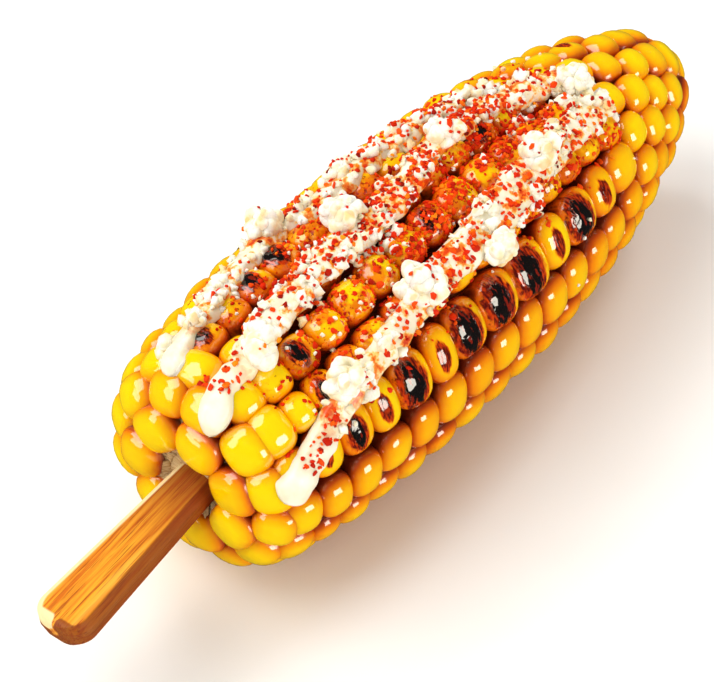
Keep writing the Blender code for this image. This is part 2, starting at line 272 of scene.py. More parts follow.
# %% A socket that takes part in sums
class Wire:
    """An output socket, or a plain number, that can be added, multiplied and compared."""

    def __init__(self, tree, socket):
        self.tree = tree
        self.socket = socket

    def node(self, kind, settings=None, inputs=None, output=0):
        """Adds a node of any kind to the same tree, with its settings and its input values or wires."""
        made = self.tree.nodes.new(kind)
        for name, value in (settings or {}).items():
            setattr(made, name, value)
        for key, value in (inputs or {}).items():
            if isinstance(value, Wire):
                self.tree.links.new(value.socket, made.inputs[key])
            else:
                made.inputs[key].default_value = value
        return Wire(self.tree, made.outputs[output])

    def math(self, operation, *others):
        """One Math node, with this value first."""
        return self.node("ShaderNodeMath", {"operation": operation}, dict(enumerate((self, *others))))

    def __add__(self, other):
        return self.math("ADD", other)

    def __sub__(self, other):
        return self.math("SUBTRACT", other)

    def __mul__(self, other):
        return self.math("MULTIPLY", other)

    def __truediv__(self, other):
        return self.math("DIVIDE", other)

    def __pow__(self, other):
        return self.math("POWER", other)

    def __rsub__(self, other):
        return self.node("ShaderNodeMath", {"operation": "SUBTRACT"}, {0: other, 1: self})

    __radd__ = __add__
    __rmul__ = __mul__

    def step(self, low, high):
        """0 below low, 1 above high and smooth between, or the other way round if low is above high."""
        ends = (low, high, 0.0, 1.0) if low < high else (high, low, 1.0, 0.0)
        inputs = {0: self, 1: ends[0], 2: ends[1], 3: ends[2], 4: ends[3]}
        return self.node("ShaderNodeMapRange", {"interpolation_type": "SMOOTHSTEP"}, inputs)

    def mix(self, low, high):
        """The colour low where this is 0, and high where it is 1."""
        return self.node("ShaderNodeMix", {"data_type": "RGBA"}, {0: self, 6: low, 7: high}, output=2)

    def ramp(self, *stops):
        """A colour that changes along this value: each stop is a place from 0 to 1 and a colour."""
        made = self.node("ShaderNodeValToRGB", inputs={0: self})
        elements = made.socket.node.color_ramp.elements
        while len(elements) < len(stops):
            elements.new(1.0)
        for element, (place, color) in zip(elements, stops):
            element.position = place
            element.color = color
        return made

    def part(self, axis):
        """One number of a vector: axis is 0, 1 or 2."""
        return self.node("ShaderNodeSeparateXYZ", inputs={0: self}, output=axis)

    def noise(self, scale, detail=2.0, roughness=0.5):
        """Cloudy values about 0.5 at these places; a larger scale makes finer clouds."""
        inputs = {"Vector": self, "Scale": scale, "Detail": detail, "Roughness": roughness}
        return self.node("ShaderNodeTexNoise", {}, inputs)


def paint(red, green, blue):
    """A screen colour, 0 to 255, as the light that a node works with."""
    screen = np.array([red, green, blue]) / 255
    light = np.where(screen <= 0.04045, screen / 12.92, ((screen + 0.055) / 1.055) ** 2.4)
    return (*(float(value) for value in light), 1.0)


def finish(name, constants):
    """A new Principled finish with its constant sockets set, and a Wire to start expressions from."""
    made = bpy.data.materials.new(name)
    made.use_nodes = True
    print(f"finish: {name}")
    tree = made.node_tree
    shader = tree.nodes["Principled BSDF"]
    for socket, value in constants.items():
        shader.inputs[socket].default_value = value
    place = Wire(tree, tree.nodes.new("ShaderNodeTexCoord").outputs["Object"])
    return made, shader, place


def told(place, name, output="Vector"):
    """What the mesh stored under a name, as a Wire."""
    return place.node("ShaderNodeAttribute", {"attribute_name": name}, output=output)


def connect(shader, **wires):
    """Feeds the shader. A height, in metres, goes through a Bump node into Normal."""
    height = wires.pop("height", None)
    for socket, wire in wires.items():
        wire.tree.links.new(wire.socket, shader.inputs[socket.replace("_", " ").title()])
    if height:
        inputs = {"Strength": 1.0, "Distance": 1.0, "Height": height}
        bumped = height.node("ShaderNodeBump", inputs=inputs)
        bumped.tree.links.new(bumped.socket, shader.inputs["Normal"])


# %% [markdown]
# ## The kernels' finish
#
# A cooked kernel is a thin glossy skin over a bright, slightly clear body. Its crown is full
# yellow, and the grill leaves a black, shiny scab with a red-brown rim. The orange of its sides and
# the brown of its root are painted shade: a flat yellow would turn olive in the shade, so each point
# knows how high it sits on its own kernel, and kernels on the ear's low side are painted more orange
# too. The same local place draws the scab as a ragged oval. Under the dressing, chili oil stains the
# skin orange with dark specks.

# %% Kernel finish
def kernel_finish():
    constants = {
        "IOR": 1.9,
        "Subsurface Weight": 0.15,
        "Subsurface Scale": 0.003,
        "Subsurface Radius": (1.0, 0.45, 0.05),
    }
    made, shader, place = finish("corn_kernel", constants)
    crown = told(place, "crown")
    nature_and_shade = told(place, "nature_and_shade")
    along, around, height = (crown.part(axis) for axis in range(3))
    tone_and_shade, char, stain = (nature_and_shade.part(axis) for axis in range(3))
    blotch = place.noise(160, 3)
    fine = place.noise(1100, 2)

    # the skin, from painted brown shade at the root through painted orange shade on the sides to the
    # crown's yellow
    ripeness_and_shade = height + 0.22 * (tone_and_shade - 0.5) + 0.16 * (blotch - 0.5)
    body = ripeness_and_shade.ramp(
        (0.0, paint(116, 32, 0)),
        (0.25, paint(198, 76, 0)),
        (0.44, paint(240, 136, 0)),
        (0.70, paint(252, 182, 0)),
        (1.0, paint(255, 214, 0)),
    )

    # chili oil and its specks
    oiled = (place.noise(210, 3, 0.6) + 0.30 * (stain - 1.0)).step(0.44, 0.58) * stain
    oil = blotch.step(0.4, 0.6).mix(paint(240, 112, 0), paint(214, 54, 0))
    color = (0.75 * oiled).mix(body, oil)
    flecks = (place.noise(1050, 2) + 0.08 * oiled).step(0.63, 0.69) * stain
    speck = fine.step(0.35, 0.65).mix(paint(140, 18, 2), paint(214, 40, 4))
    color = (0.9 * flecks).mix(color, speck)

    # what the grill left: a glow, a red-brown rim and a black scab, in ovals that grow with the char
    def oval(half_length, half_width):
        """1 on an oval a little off the crown's middle, and less inside it."""
        return (((along + 0.24) / half_length) ** 2.0 + (around / half_width) ** 2.0) ** 0.5

    streaks = place.node("ShaderNodeCombineXYZ", inputs={0: along * 3.2, 1: around * 1.1, 2: tone_and_shade * 60})
    torn = streaks.noise(1.5, 4, 0.65) - 0.5
    ragged = (1.7 - 0.7 * char) * torn + 0.45 * (place.noise(700, 2) - 0.5)
    wide, tall = 0.07 + 0.38 * char, 0.26 + 0.50 * char
    border = 0.12 + 0.11 * char
    burnt = char.step(0.02, 0.10)
    inner = oval(wide, tall) + ragged
    outer = oval(wide + border, tall + border) + 0.6 * ragged
    color = (0.9 * outer.step(1.28, 1.04) * burnt).mix(color, paint(232, 108, 0))
    rim = streaks.noise(3.4, 3).step(0.35, 0.6).mix(paint(206, 60, 0), paint(92, 10, 0))
    color = (outer.step(1.08, 0.96) * burnt).mix(color, rim)
    scab = inner.step(1.10, 0.92) * char.step(0.12, 0.50)
    crust = streaks.noise(1.8, 3).step(0.56, 0.64).mix(paint(12, 6, 5), paint(128, 26, 6))
    color = scab.mix(color, crust)

    rough = 0.06 + 0.04 * fine + 0.03 * oiled + 0.22 * height.step(0.60, 0.15)
    relief = 0.00016 * blotch + 0.00012 * place.noise(420, 1) + 0.00030 * scab * place.noise(360, 2)
    connect(shader, base_color=color, roughness=rough, height=relief)
    return made


KERNEL = kernel_finish()

# %% [markdown]
# ## Laying out the kernels
#
# On an ear the kernels sit in an even number of straight rows. The row that lay on the grill has
# its own pattern of swollen black kernels and plain ones. The rows could be copies of one row, but
# real ones drift against each other, so each row's kernels get their own lengths. Towards the tip
# the rows give way to rings of smaller kernels, and at the butt rings of large ones face outwards
# round the stick.

# %% Where each kernel sits
GRILLED_ANGLE = -62  # degrees from the top
ROW_WIDTHS = np.radians([27] + [19.8] * 5 + [23.2] * 9 + [25.2])  # from the grilled row on
ROWS = len(ROW_WIDTHS)
ROW_ANGLES = math.radians(GRILLED_ANGLE) + np.cumsum(ROW_WIDTHS) - (ROW_WIDTHS + ROW_WIDTHS[0]) / 2
CHAR_OF = {"plain": 0.0, "speckled": 0.10, "streaked": 0.24, "half": 0.62, "black": 0.95}
GRILLED_ROW = (  # each kernel's length in mm and how it is burnt
    (7.6, "speckled"),
    (7.9, "half"),
    (7.4, "streaked"),
    (9.2, "black"),
    (7.6, "streaked"),
    (9.7, "black"),
    (10.4, "black"),
    (11.2, "black"),
    (8.4, "streaked"),
    (10.4, "black"),
    (8.6, "streaked"),
    (10.4, "plain"),
)
ROWS_START_X, ROWS_END_X, GRILLED_ROW_END_X = 10.9 * MM, 112 * MM, 120.2 * MM
KERNEL_PITCH = 8.5 * MM
NARROW_SIZE, BUTT_SIZE, FULL_SIZE_X = 0.72, 0.84, 45 * MM  # shares of the pitch, and where they end
ROW_DRIFT, SIZE_CHANGE = 0.08, 0.07  # random, as shares of the pitch
ROW_WAVE, ROW_WAVE_LENGTH = math.radians(1.0), 17 * MM
BUTT_TWIST, BUTT_TWIST_ENDS_X = math.radians(-5), 50 * MM
DOME = 3.9 * MM
SMALL_DOME, FULL_DOME_RADIUS = 0.62, 20 * MM  # kernels near the axis have lower domes
BUTT_RINGS = (  # kernels, mm from the axis, mm long, first angle, how far it stands out in mm
    (7, 11.6, 9.6, -66, 2.2),
    (12, 19.8, 8.8, -39, 0.4),
    (14, 24.0, 8.2, -42, 0.2),
)
TIP_KERNEL_LENGTHS = (8.0, 8.0, 7.9, 7.7, 7.6, 7.4, 7.0)  # mm, ring by ring
TIP_KERNEL_WIDTH = 8.3 * MM
TIP_DEPTH = 3.2 * MM
TIP_CAP, TIP_CAP_DEPTH = 3.6 * MM, 0.1 * MM  # half the size of the one kernel that closes the tip
BUTT_DEPTH = 0.4 * MM
WIDEST_KERNEL = 0.62  # of its length, the most that half its width may be in a ring
RING_TURN, RING_SHIFT = 0.04, 0.2 * MM  # random
BROWNED = (  # other kernels that the grill marked: mm along, degrees from the top, strength
    (89, -4, 0.95),
    (62, -20, 0.6),
    (38.5, 16, 0.8),
    (32, 15, 0.7),
    (36, 28, 0.6),
    (62, 8, 0.5),
    (16, 10, 0.6),
    (24.5, -28, 0.55),
    (18, -38, 0.55),
    (131, 21, 0.14),
    (50, 62, 0.7),
    (72, 66, 0.8),
    (95, 60, 0.5),
    (30, 90, 0.5),
    (84, 92, 0.4),
)

rng = np.random.default_rng(23)


def row_kernels(row):
    """One row: lengths, half sizes and char of its kernels. Their sizes are the pitch, smaller at the
    butt and where the ear narrows, with a small random change, then stretched to fill the row."""
    start = length_at(ROWS_START_X) + rng.uniform(-ROW_DRIFT, ROW_DRIFT) * KERNEL_PITCH * (row > 0)
    end = length_at(GRILLED_ROW_END_X if row == 0 else ROWS_END_X)
    sizes = [size * MM for size, _ in GRILLED_ROW] if row == 0 else []
    while start + sum(sizes) < end - 0.5 * KERNEL_PITCH:
        at = start + sum(sizes)
        slimmer = NARROW_SIZE + (1 - NARROW_SIZE) * radius_at(at) / EAR_RADIUS
        to_butt = BUTT_SIZE + (1 - BUTT_SIZE) * min(1, x_at(at) / FULL_SIZE_X)
        change = rng.uniform(1 - SIZE_CHANGE, 1 + SIZE_CHANGE)
        sizes.append(KERNEL_PITCH * to_butt * slimmer * change)
    sizes = np.array(sizes) * (end - start) / sum(sizes)
    middles = start + np.cumsum(sizes) - sizes / 2
    across = (radius_at(middles) - DOME) * math.tan(ROW_WIDTHS[row] / 2)
    marks = [CHAR_OF[mark] for _, mark in GRILLED_ROW] if row == 0 else []
    marks += [0.0] * (len(sizes) - len(marks))
    return list(zip(middles, sizes / 2, across, marks))


def ring_kernels(count, at, size, first, depth):
    """A ring of kernels round the axis: equal steps of angle with a small random change. They touch
    at their widest, which lies at a depth below the outline."""
    changes = rng.uniform(-RING_TURN, RING_TURN, count)
    angles = math.radians(first) + 2 * math.pi * np.arange(count) / count + changes
    across = min((radius_at(at) - depth) * math.tan(math.pi / count), WIDEST_KERNEL * size)
    return [(at + rng.uniform(-RING_SHIFT, RING_SHIFT), size / 2, across, angle) for angle in angles]


# %% All kernels as arrays
def lay_out_kernels():
    """Collects rows and rings: group, length, angle, half sizes, char and sink of every kernel."""
    found = []
    for row in range(ROWS):
        for at, half_along, half_around, char in row_kernels(row):
            to_butt = np.clip(1 - x_at(at) / BUTT_TWIST_ENDS_X, 0, 1)
            drift = ROW_WAVE * math.sin(at / ROW_WAVE_LENGTH + row) + BUTT_TWIST * to_butt
            found.append((row, at, ROW_ANGLES[row] + drift, half_along, half_around, char, 0.0))

    rising = slice(STEPS // 3)  # the outline's part before its belly
    for count, radius, size, first, proud in BUTT_RINGS:
        at = np.interp(radius * MM, table_radius[rising], table_length[rising])
        ring = ring_kernels(count, at, size * MM, first, BUTT_DEPTH)
        for length, half_along, half_around, angle in ring:
            found.append((ROWS, length, angle, half_along, half_around, 0.0, -proud * MM))

    start = length_at(ROWS_END_X)
    sizes = np.array(TIP_KERNEL_LENGTHS)
    sizes *= (OUTLINE_LENGTH - TIP_CAP - start) / sizes.sum()
    for ring, size in enumerate(sizes):
        at = start + sizes[:ring].sum() + size / 2
        girth = 2 * math.pi * (radius_at(at) - TIP_DEPTH)
        count = max(3, round(girth / TIP_KERNEL_WIDTH))
        first = GRILLED_ANGLE + 180 / count * (ring % 2)
        for length, half_along, half_around, angle in ring_kernels(count, at, size, first, TIP_DEPTH):
            past_row = length - length_at(GRILLED_ROW_END_X) > -0.3 * size
            beside_row = abs(wrapped(angle - math.radians(GRILLED_ANGLE))) > 0.5 * ROW_WIDTHS[0]
            if past_row or beside_row:
                found.append((ROWS + 1, length, angle, half_along, half_around, 0.0, 0.0))
        print(f"tip ring at {x_at(at) / MM:.1f} mm: {count} kernels of {size / MM:.1f} mm")
    found.append((ROWS + 1, OUTLINE_LENGTH - TIP_CAP_DEPTH, 0.0, TIP_CAP, TIP_CAP, 0.0, 0.0))
    return np.array(found)


layout = lay_out_kernels()
GROUP, LENGTH, ANGLE, HALF_ALONG, HALF_AROUND, CHAR, SINK = layout.T
KERNEL_X, KERNEL_RADIUS = x_at(LENGTH), radius_at(LENGTH)
for x, degrees, strength in BROWNED:
    sideways = wrapped(ANGLE - math.radians(degrees)) * KERNEL_RADIUS
    nearest = int(np.argmin(np.hypot(KERNEL_X - x * MM, sideways)))
    CHAR[nearest] = max(CHAR[nearest], strength)
print(f"{len(layout)} kernels, {int((CHAR > 0.5).sum())} of them burnt")

# %% How each kernel differs from its neighbours
DEEPEST_SINK = 0.5 * MM
LOW_SIDE_ANGLE, LOW_SIDE_FADE, LOW_SIDE_X, LOW_SIDE_PAINTED_SHADE = -74, 12, 14 * MM, 0.8  # painted shade: kernels on the ear's low side turn more orange
DENTED_SHARE, DENT_DEPTH = 0.12, (0.1, 0.3)  # of all kernels, and mm

SINK = SINK + rng.uniform(0.0, 1.0, len(layout)) * DEEPEST_SINK
low_side = np.clip((LOW_SIDE_ANGLE - np.degrees(wrapped(ANGLE))) / LOW_SIDE_FADE, 0, 1)
# each kernel's random tone, lowered on the ear's low side as painted shade
TONE_AND_SHADE = rng.uniform(0, 1, len(layout)) - LOW_SIDE_PAINTED_SHADE * low_side * (KERNEL_X > LOW_SIDE_X)
dented = rng.uniform(0, 1, len(layout)) < DENTED_SHARE
DENT = np.where(dented, rng.uniform(*DENT_DEPTH, len(layout)), 0.0) * MM
RISE = DOME * (SMALL_DOME + (1 - SMALL_DOME) * np.clip(KERNEL_RADIUS / FULL_DOME_RADIUS, 0, 1))
print(f"domes {RISE.min() / MM:.1f} to {RISE.max() / MM:.1f} mm high, {dented.sum()} of them dented")

# %% [markdown]
# ## The shape of a kernel
#
# A kernel is a plump pillow with squarish sides that narrows towards the cob. A box with bevels
# would have flat faces, so its surface is a ball stretched by powers: above 2 they square it off.
# Each kernel is a coarse cage of this ball, and one subdivision rounds it. The cage's poles lie
# along the row, hidden where neighbours touch.

# %% The stretched ball
TURNS, RINGS = 12, 7
PLAN_POWER, SIDE_POWER = 3.3, 2.5
CAGE_GROWTH = 1.05  # makes up for what the subdivision takes off
ROOT_DEPTH = 7.5 * MM
ROOT_TAPER = 0.32
JOSTLE = math.radians(5)  # random turns of each kernel
SWELL = (0.95, 1.06)  # random sizes of its height
DENT_LENGTH, DENT_WIDTH = 0.45, 0.6  # of its half sizes
ABOVE_TABLE = 0.05 * MM


def pillow():
    """Points of the ball, moved out until (|along|^p + |around|^p)^(q/p) + |height|^q is 1."""
    way = np.abs(ball_directions(TURNS, RINGS)) + 1e-9
    plan = (way[:, 0] ** PLAN_POWER + way[:, 1] ** PLAN_POWER) ** (SIDE_POWER / PLAN_POWER)
    reach = (plan + way[:, 2] ** SIDE_POWER) ** (-1 / SIDE_POWER)
    return ball_directions(TURNS, RINGS) * reach[:, None]


PILLOW = pillow()
print(f"a kernel's cage has {len(PILLOW)} points")

# %% Kernels and the stain on them
DRESSED_X = (9 * MM, 126 * MM)
DRESSED_ANGLE = (-60, 50)  # degrees from the top
FADE_AT_BUTT, FADE_AT_TIP, FADE_AT_SIDES = 10 * MM, 12 * MM, 12  # the last in degrees


def stain_of(length, angle):
    """How strongly chili oil stains a place: 1 inside the dressed field, fading at its edges."""
    x, degrees = x_at(length), np.degrees(wrapped(angle))
    from_butt, from_tip = (x - DRESSED_X[0]) / FADE_AT_BUTT, (DRESSED_X[1] - x) / FADE_AT_TIP
    from_left, from_right = degrees - DRESSED_ANGLE[0], DRESSED_ANGLE[1] - degrees
    ends = np.clip(from_butt, 0, 1) * np.clip(from_tip, 0, 1)
    sides = np.clip(from_left / FADE_AT_SIDES, 0, 1) * np.clip(from_right / FADE_AT_SIDES, 0, 1)
    return ends * sides


def kernels_mesh(name, chosen):
    """All kernels of a group: the pillow scaled by each kernel's half sizes, narrowed below its
    middle, dented on its crown, turned a little and set on the ear."""
    count = len(chosen)
    unit = PILLOW[None]
    slim = (1 - ROOT_TAPER * np.clip(-unit[..., 2], 0, 1)) * CAGE_GROWTH
    along = unit[..., 0] * slim * HALF_ALONG[chosen, None]
    around = unit[..., 1] * slim * HALF_AROUND[chosen, None]
    swell = rng.uniform(*SWELL, (count, 1))
    on_crown = unit[..., 2] > 0
    up = unit[..., 2] * np.where(on_crown, RISE[chosen, None] * CAGE_GROWTH, ROOT_DEPTH) * swell
    hollow = np.exp(-((unit[..., 0] / DENT_LENGTH) ** 2 + (unit[..., 1] / DENT_WIDTH) ** 2))
    up = up - DENT[chosen, None] * hollow * on_crown
    twist, lean = rng.uniform(-JOSTLE, JOSTLE, (2, count, 1))
    along, around = along - twist * around, around + twist * along
    up = up + lean * around
    place, forward, sideways, outward = ear_frame(LENGTH[chosen], ANGLE[chosen])
    points = (place - outward * (RISE + SINK)[chosen, None])[:, None]
    for distance, direction in ((along, forward), (around, sideways), (up, outward)):
        points = points + direction[:, None] * distance[..., None]
    points[..., 2] = np.maximum(points[..., 2], ABOVE_TABLE)
    mesh = balls_mesh(name, points, TURNS, RINGS)
    tell(mesh, "crown", np.tile(PILLOW, (count, 1)))
    nature_and_shade = np.stack([TONE_AND_SHADE[chosen], CHAR[chosen], stain_of(LENGTH[chosen], ANGLE[chosen])], -1)
    tell(mesh, "nature_and_shade", np.repeat(nature_and_shade, len(PILLOW), axis=0))
    return mesh


# %% Every row and ring of kernels
GROUP_NAMES = [f"kernel_row_{row + 1:02d}" for row in range(ROWS)] + ["butt_kernels", "tip_kernels"]
kernel_pieces = []
for group, name in enumerate(GROUP_NAMES):
    mesh = kernels_mesh(name, np.flatnonzero(GROUP == group))
    stands_for = ("kernels",) if group == 0 else ()
    kernel_pieces.append(add_piece(mesh, KERNEL, stands_for, smooth=1))

# %% [markdown]
# ## The cob
#
# The cob is hidden but for its butt end, a dry tan disc with ragged chaff round the stick. Between
# the kernels a little of its side shows too, coloured dark brown. It is one turned surface, cut back
# inside the kernels, and the chaff is a ring of torn papery scales, each a small bent grid.

# %% Cob finish
def cob_finish():
    made, shader, place = finish("cob_chaff", {"IOR": 1.4})
    radial = told(place, "fibre")
    streak = radial.noise(3.0, 4, 0.6)
    fleck = place.noise(900, 3)
    dry = radial.part(2)
    bare = streak.step(0.3, 0.75).mix(paint(182, 136, 76), paint(240, 216, 166))
    bare = (fleck.step(0.60, 0.72) * 0.6).mix(bare, paint(122, 66, 26))
    # dark brown on the side, tan on the butt's face
    color = dry.mix(paint(128, 52, 8), bare)
    relief = 0.0004 * streak + 0.0001 * fleck
    connect(shader, base_color=color, roughness=0.62 + 0.25 * streak, height=relief)
    return made


COB = cob_finish()

# %% Cob and chaff shapes
CORE_SHARE = 0.74  # of the outline's radius
CORE_SHIFT, CORE_ENDS = 2 * MM, 3 * MM
COB_FACE_RADIUS, COB_FLARE = 9.4 * MM, 2.2  # the flare is how fast it widens behind its face
COB_FACE_BACK, COB_FACE_HOLLOW, COB_FACE_RIPPLE = 0.4 * MM, 0.8 * MM, 0.25 * MM
FACE_PART, TIP_PART = 0.14, 0.04  # of the rings
DRY_LENGTH = 5 * MM
CHAFF_COUNT = 34
CHAFF_START, CHAFF_REACH, CHAFF_HALF_WIDTH = (5.0, 6.6), (1.4, 3.0), (0.9, 1.7)  # from and to, in mm
CHAFF_STAND = (0.1, 0.9)  # how far a scale stands up, as a share of its reach
CHAFF_BACK, CHAFF_CURL, CHAFF_THICK = 0.5 * MM, 0.35 * MM, 0.22 * MM


def cob_mesh():
    """A turned surface: a face at the butt, then a share of the ear's outline up to near the tip."""
    turns, rings = 96, 90
    share = np.linspace(0, 1, rings + 2)[1:-1, None]
    turn = full_turn(turns)
    on_face = np.clip(share / FACE_PART, 0, 1)
    on_side = np.clip((share - FACE_PART) / (1 - FACE_PART), 0, 1)
    x = COB_FACE_INSET + COB_FACE_BACK + on_side * (EAR_LENGTH - COB_TIP_INSET - CORE_ENDS)
    flare = COB_FACE_RADIUS + COB_FLARE * on_side * EAR_LENGTH
    side_radius = np.minimum(outline_radius(x + CORE_SHIFT) * CORE_SHARE, flare)
    closing = np.clip((1 - share) / TIP_PART, 0, 1) ** 0.5
    radius = np.where(on_side > 0, side_radius, COB_FACE_RADIUS * on_face) * closing
    ripple = COB_FACE_RIPPLE * np.sin(23 * turn + 3 * np.sin(5 * turn)) * on_face * (on_side < 0.02)
    points = round_axis(x + ripple + COB_FACE_HOLLOW * (1 - on_face) * (on_side <= 0), radius, turn)
    hollow_x = AXIS.x + COB_FACE_INSET + COB_FACE_BACK + COB_FACE_HOLLOW
    poles = [[hollow_x, AXIS.y, AXIS.z], [points[-1, 0, 0], AXIS.y, AXIS.z]]
    mesh = balls_mesh("cob_core", with_poles(points, poles)[None], turns, rings)
    dry = np.clip(1 - on_side * EAR_LENGTH / DRY_LENGTH, 0, 1)
    fibre = np.stack(np.broadcast_arrays(np.cos(turn) * 3, np.sin(turn) * 3, dry), -1)
    tell(mesh, "fibre", with_poles(fibre, [[0, 0, 1], [0, 0, 0]]))
    return mesh


def chaff_mesh():
    """Torn scales: each grid runs out from the cob's face, bends outwards and ends in a ragged edge."""
    rows, columns = 7, 5
    out = np.linspace(0, 1, rows)[None, :, None]
    side = np.linspace(-1, 1, columns)[None, None, :]
    each = (CHAFF_COUNT, 1, 1)
    number = np.arange(CHAFF_COUNT).reshape(each)
    turn = 2 * math.pi * (number + rng.uniform(-0.35, 0.35, each)) / CHAFF_COUNT
    reach = rng.uniform(*CHAFF_REACH, each) * MM
    ragged = 1 + 0.35 * rng.uniform(-1, 1, (CHAFF_COUNT, 1, columns)) * out**2
    half_width = rng.uniform(*CHAFF_HALF_WIDTH, each) * MM * (1 - 0.45 * out**2)
    stand = rng.uniform(*CHAFF_STAND, each)
    radius = rng.uniform(*CHAFF_START, each) * MM + reach * ragged * out
    lift = reach * stand * np.sin(1.4 * out) + CHAFF_CURL * np.cos(2.2 * side) * out
    angle = turn + side * half_width / radius + rng.uniform(-0.2, 0.2, each) * out
    top = round_axis(COB_FACE_INSET + CHAFF_BACK - lift, radius, angle)
    under = top + np.array([CHAFF_THICK, 0, 0])
    points = np.concatenate([top.reshape(CHAFF_COUNT, -1, 3), under.reshape(CHAFF_COUNT, -1, 3)], 1)
    cell = np.arange((rows - 1) * columns).reshape(rows - 1, columns)[:, :-1].ravel()
    upper = np.stack([cell, cell + 1, cell + columns + 1, cell + columns], -1)
    lower = upper[:, ::-1] + rows * columns
    grid = np.arange(rows * columns).reshape(rows, columns)
    rim = np.concatenate([grid[0], grid[1:, -1], grid[-1, -2::-1], grid[-2:0:-1, 0]])
    onward = np.roll(rim, -1)
    edge = np.stack([rim, rim + rows * columns, onward + rows * columns, onward], -1)
    faces = np.concatenate([upper, lower, edge])
    mesh = mesh_from("chaff", points, repeated(faces, 2 * rows * columns, CHAFF_COUNT))
    seed = rng.uniform(0, 40, each)
    fibre = np.stack(np.broadcast_arrays(side * 1.6 + seed, out * 0.5 + seed, 1.0), -1)
    tell(mesh, "fibre", np.tile(fibre.reshape(CHAFF_COUNT, 1, -1, 3), (1, 2, 1, 1)).reshape(-1, 3))
    return mesh


cob = add_piece(cob_mesh(), COB, ("cob",))
chaff = add_piece(chaff_mesh(), COB)

# %% [markdown]
# ## The stick
#
# A flat hardwood stick with eased edges and a rounded end, a little darker where it is damp from
# the corn. Its left bevel and the left of its end are painted pale as a highlight, and its right
# side, the right of its end and its underside are painted dark as shade. It is a bevelled rectangle
# carried along a line: its half sizes shrink in a quarter round at the outer end, which rounds both
# the corners and the edges. The grain runs along the stick, so the finish reads places stored in
# the stick's own directions.

# %% Wood finish
def wood_finish():
    made, shader, place = finish("stick_wood", {"IOR": 1.45, "Specular IOR Level": 0.3})
    grain = told(place, "grain")
    warp = grain.noise(1.6, 2)
    streak = grain.noise(3.0, 5, 0.62)
    line = grain.noise(9.0, 3, 0.5)
    wet = told(place, "damp_and_light").part(0)
    # how much painted shade (above 0) or painted highlight (below 0) lies on an edge
    edge = told(place, "damp_and_light").part(1)
    color = streak.step(0.34, 0.60).mix(paint(204, 98, 12), paint(246, 166, 38))
    color = (line.step(0.54, 0.66) * 0.75).mix(color, paint(150, 58, 6))
    color = (warp.step(0.55, 0.75) * 0.45).mix(color, paint(252, 190, 80))
    color = (0.75 * wet.step(0.45, 1.05)).mix(color, paint(122, 42, 6))
    # painted shade on the right side, the right of the end and the underside, then a painted highlight
    # on the left bevel and the left of the end
    color = (0.85 * edge.step(0.35, 0.65)).mix(color, line.mix(paint(150, 60, 8), paint(104, 36, 4)))
    color = (0.85 * edge.step(-0.35, -0.65)).mix(color, paint(255, 238, 180))
    relief = 0.00012 * streak + 0.00005 * line
    connect(shader, base_color=color, roughness=0.36 + 0.25 * line, height=relief)
    return made


WOOD = wood_finish()

# %% Stick shape
STICK_OUTSIDE, STICK_INSIDE = 38.7 * MM, 45 * MM
STICK_END_WIDTH, STICK_INNER_WIDTH = 12.4 * MM, 5.4 * MM
STICK_THICKNESS = 5.8 * MM
STICK_OFF_AXIS = Vector((0, -0.8 * MM, -1.0 * MM))
STICK_DROOP, STICK_SWAY = math.radians(5.5), math.radians(-1.6)
CORNER_ROUND, EDGE_ROUND, STICK_BEVEL = 4.4 * MM, 1.3 * MM, 1.4 * MM
SIDE_LIGHT_REACH, END_LIGHT_REACH = 1.5 * MM, 1.7 * MM  # how far the painted highlight and shade reach in from the sides and the end
GRAIN_LENGTH, GRAIN_WIDTH = 85 * MM, 2.8 * MM


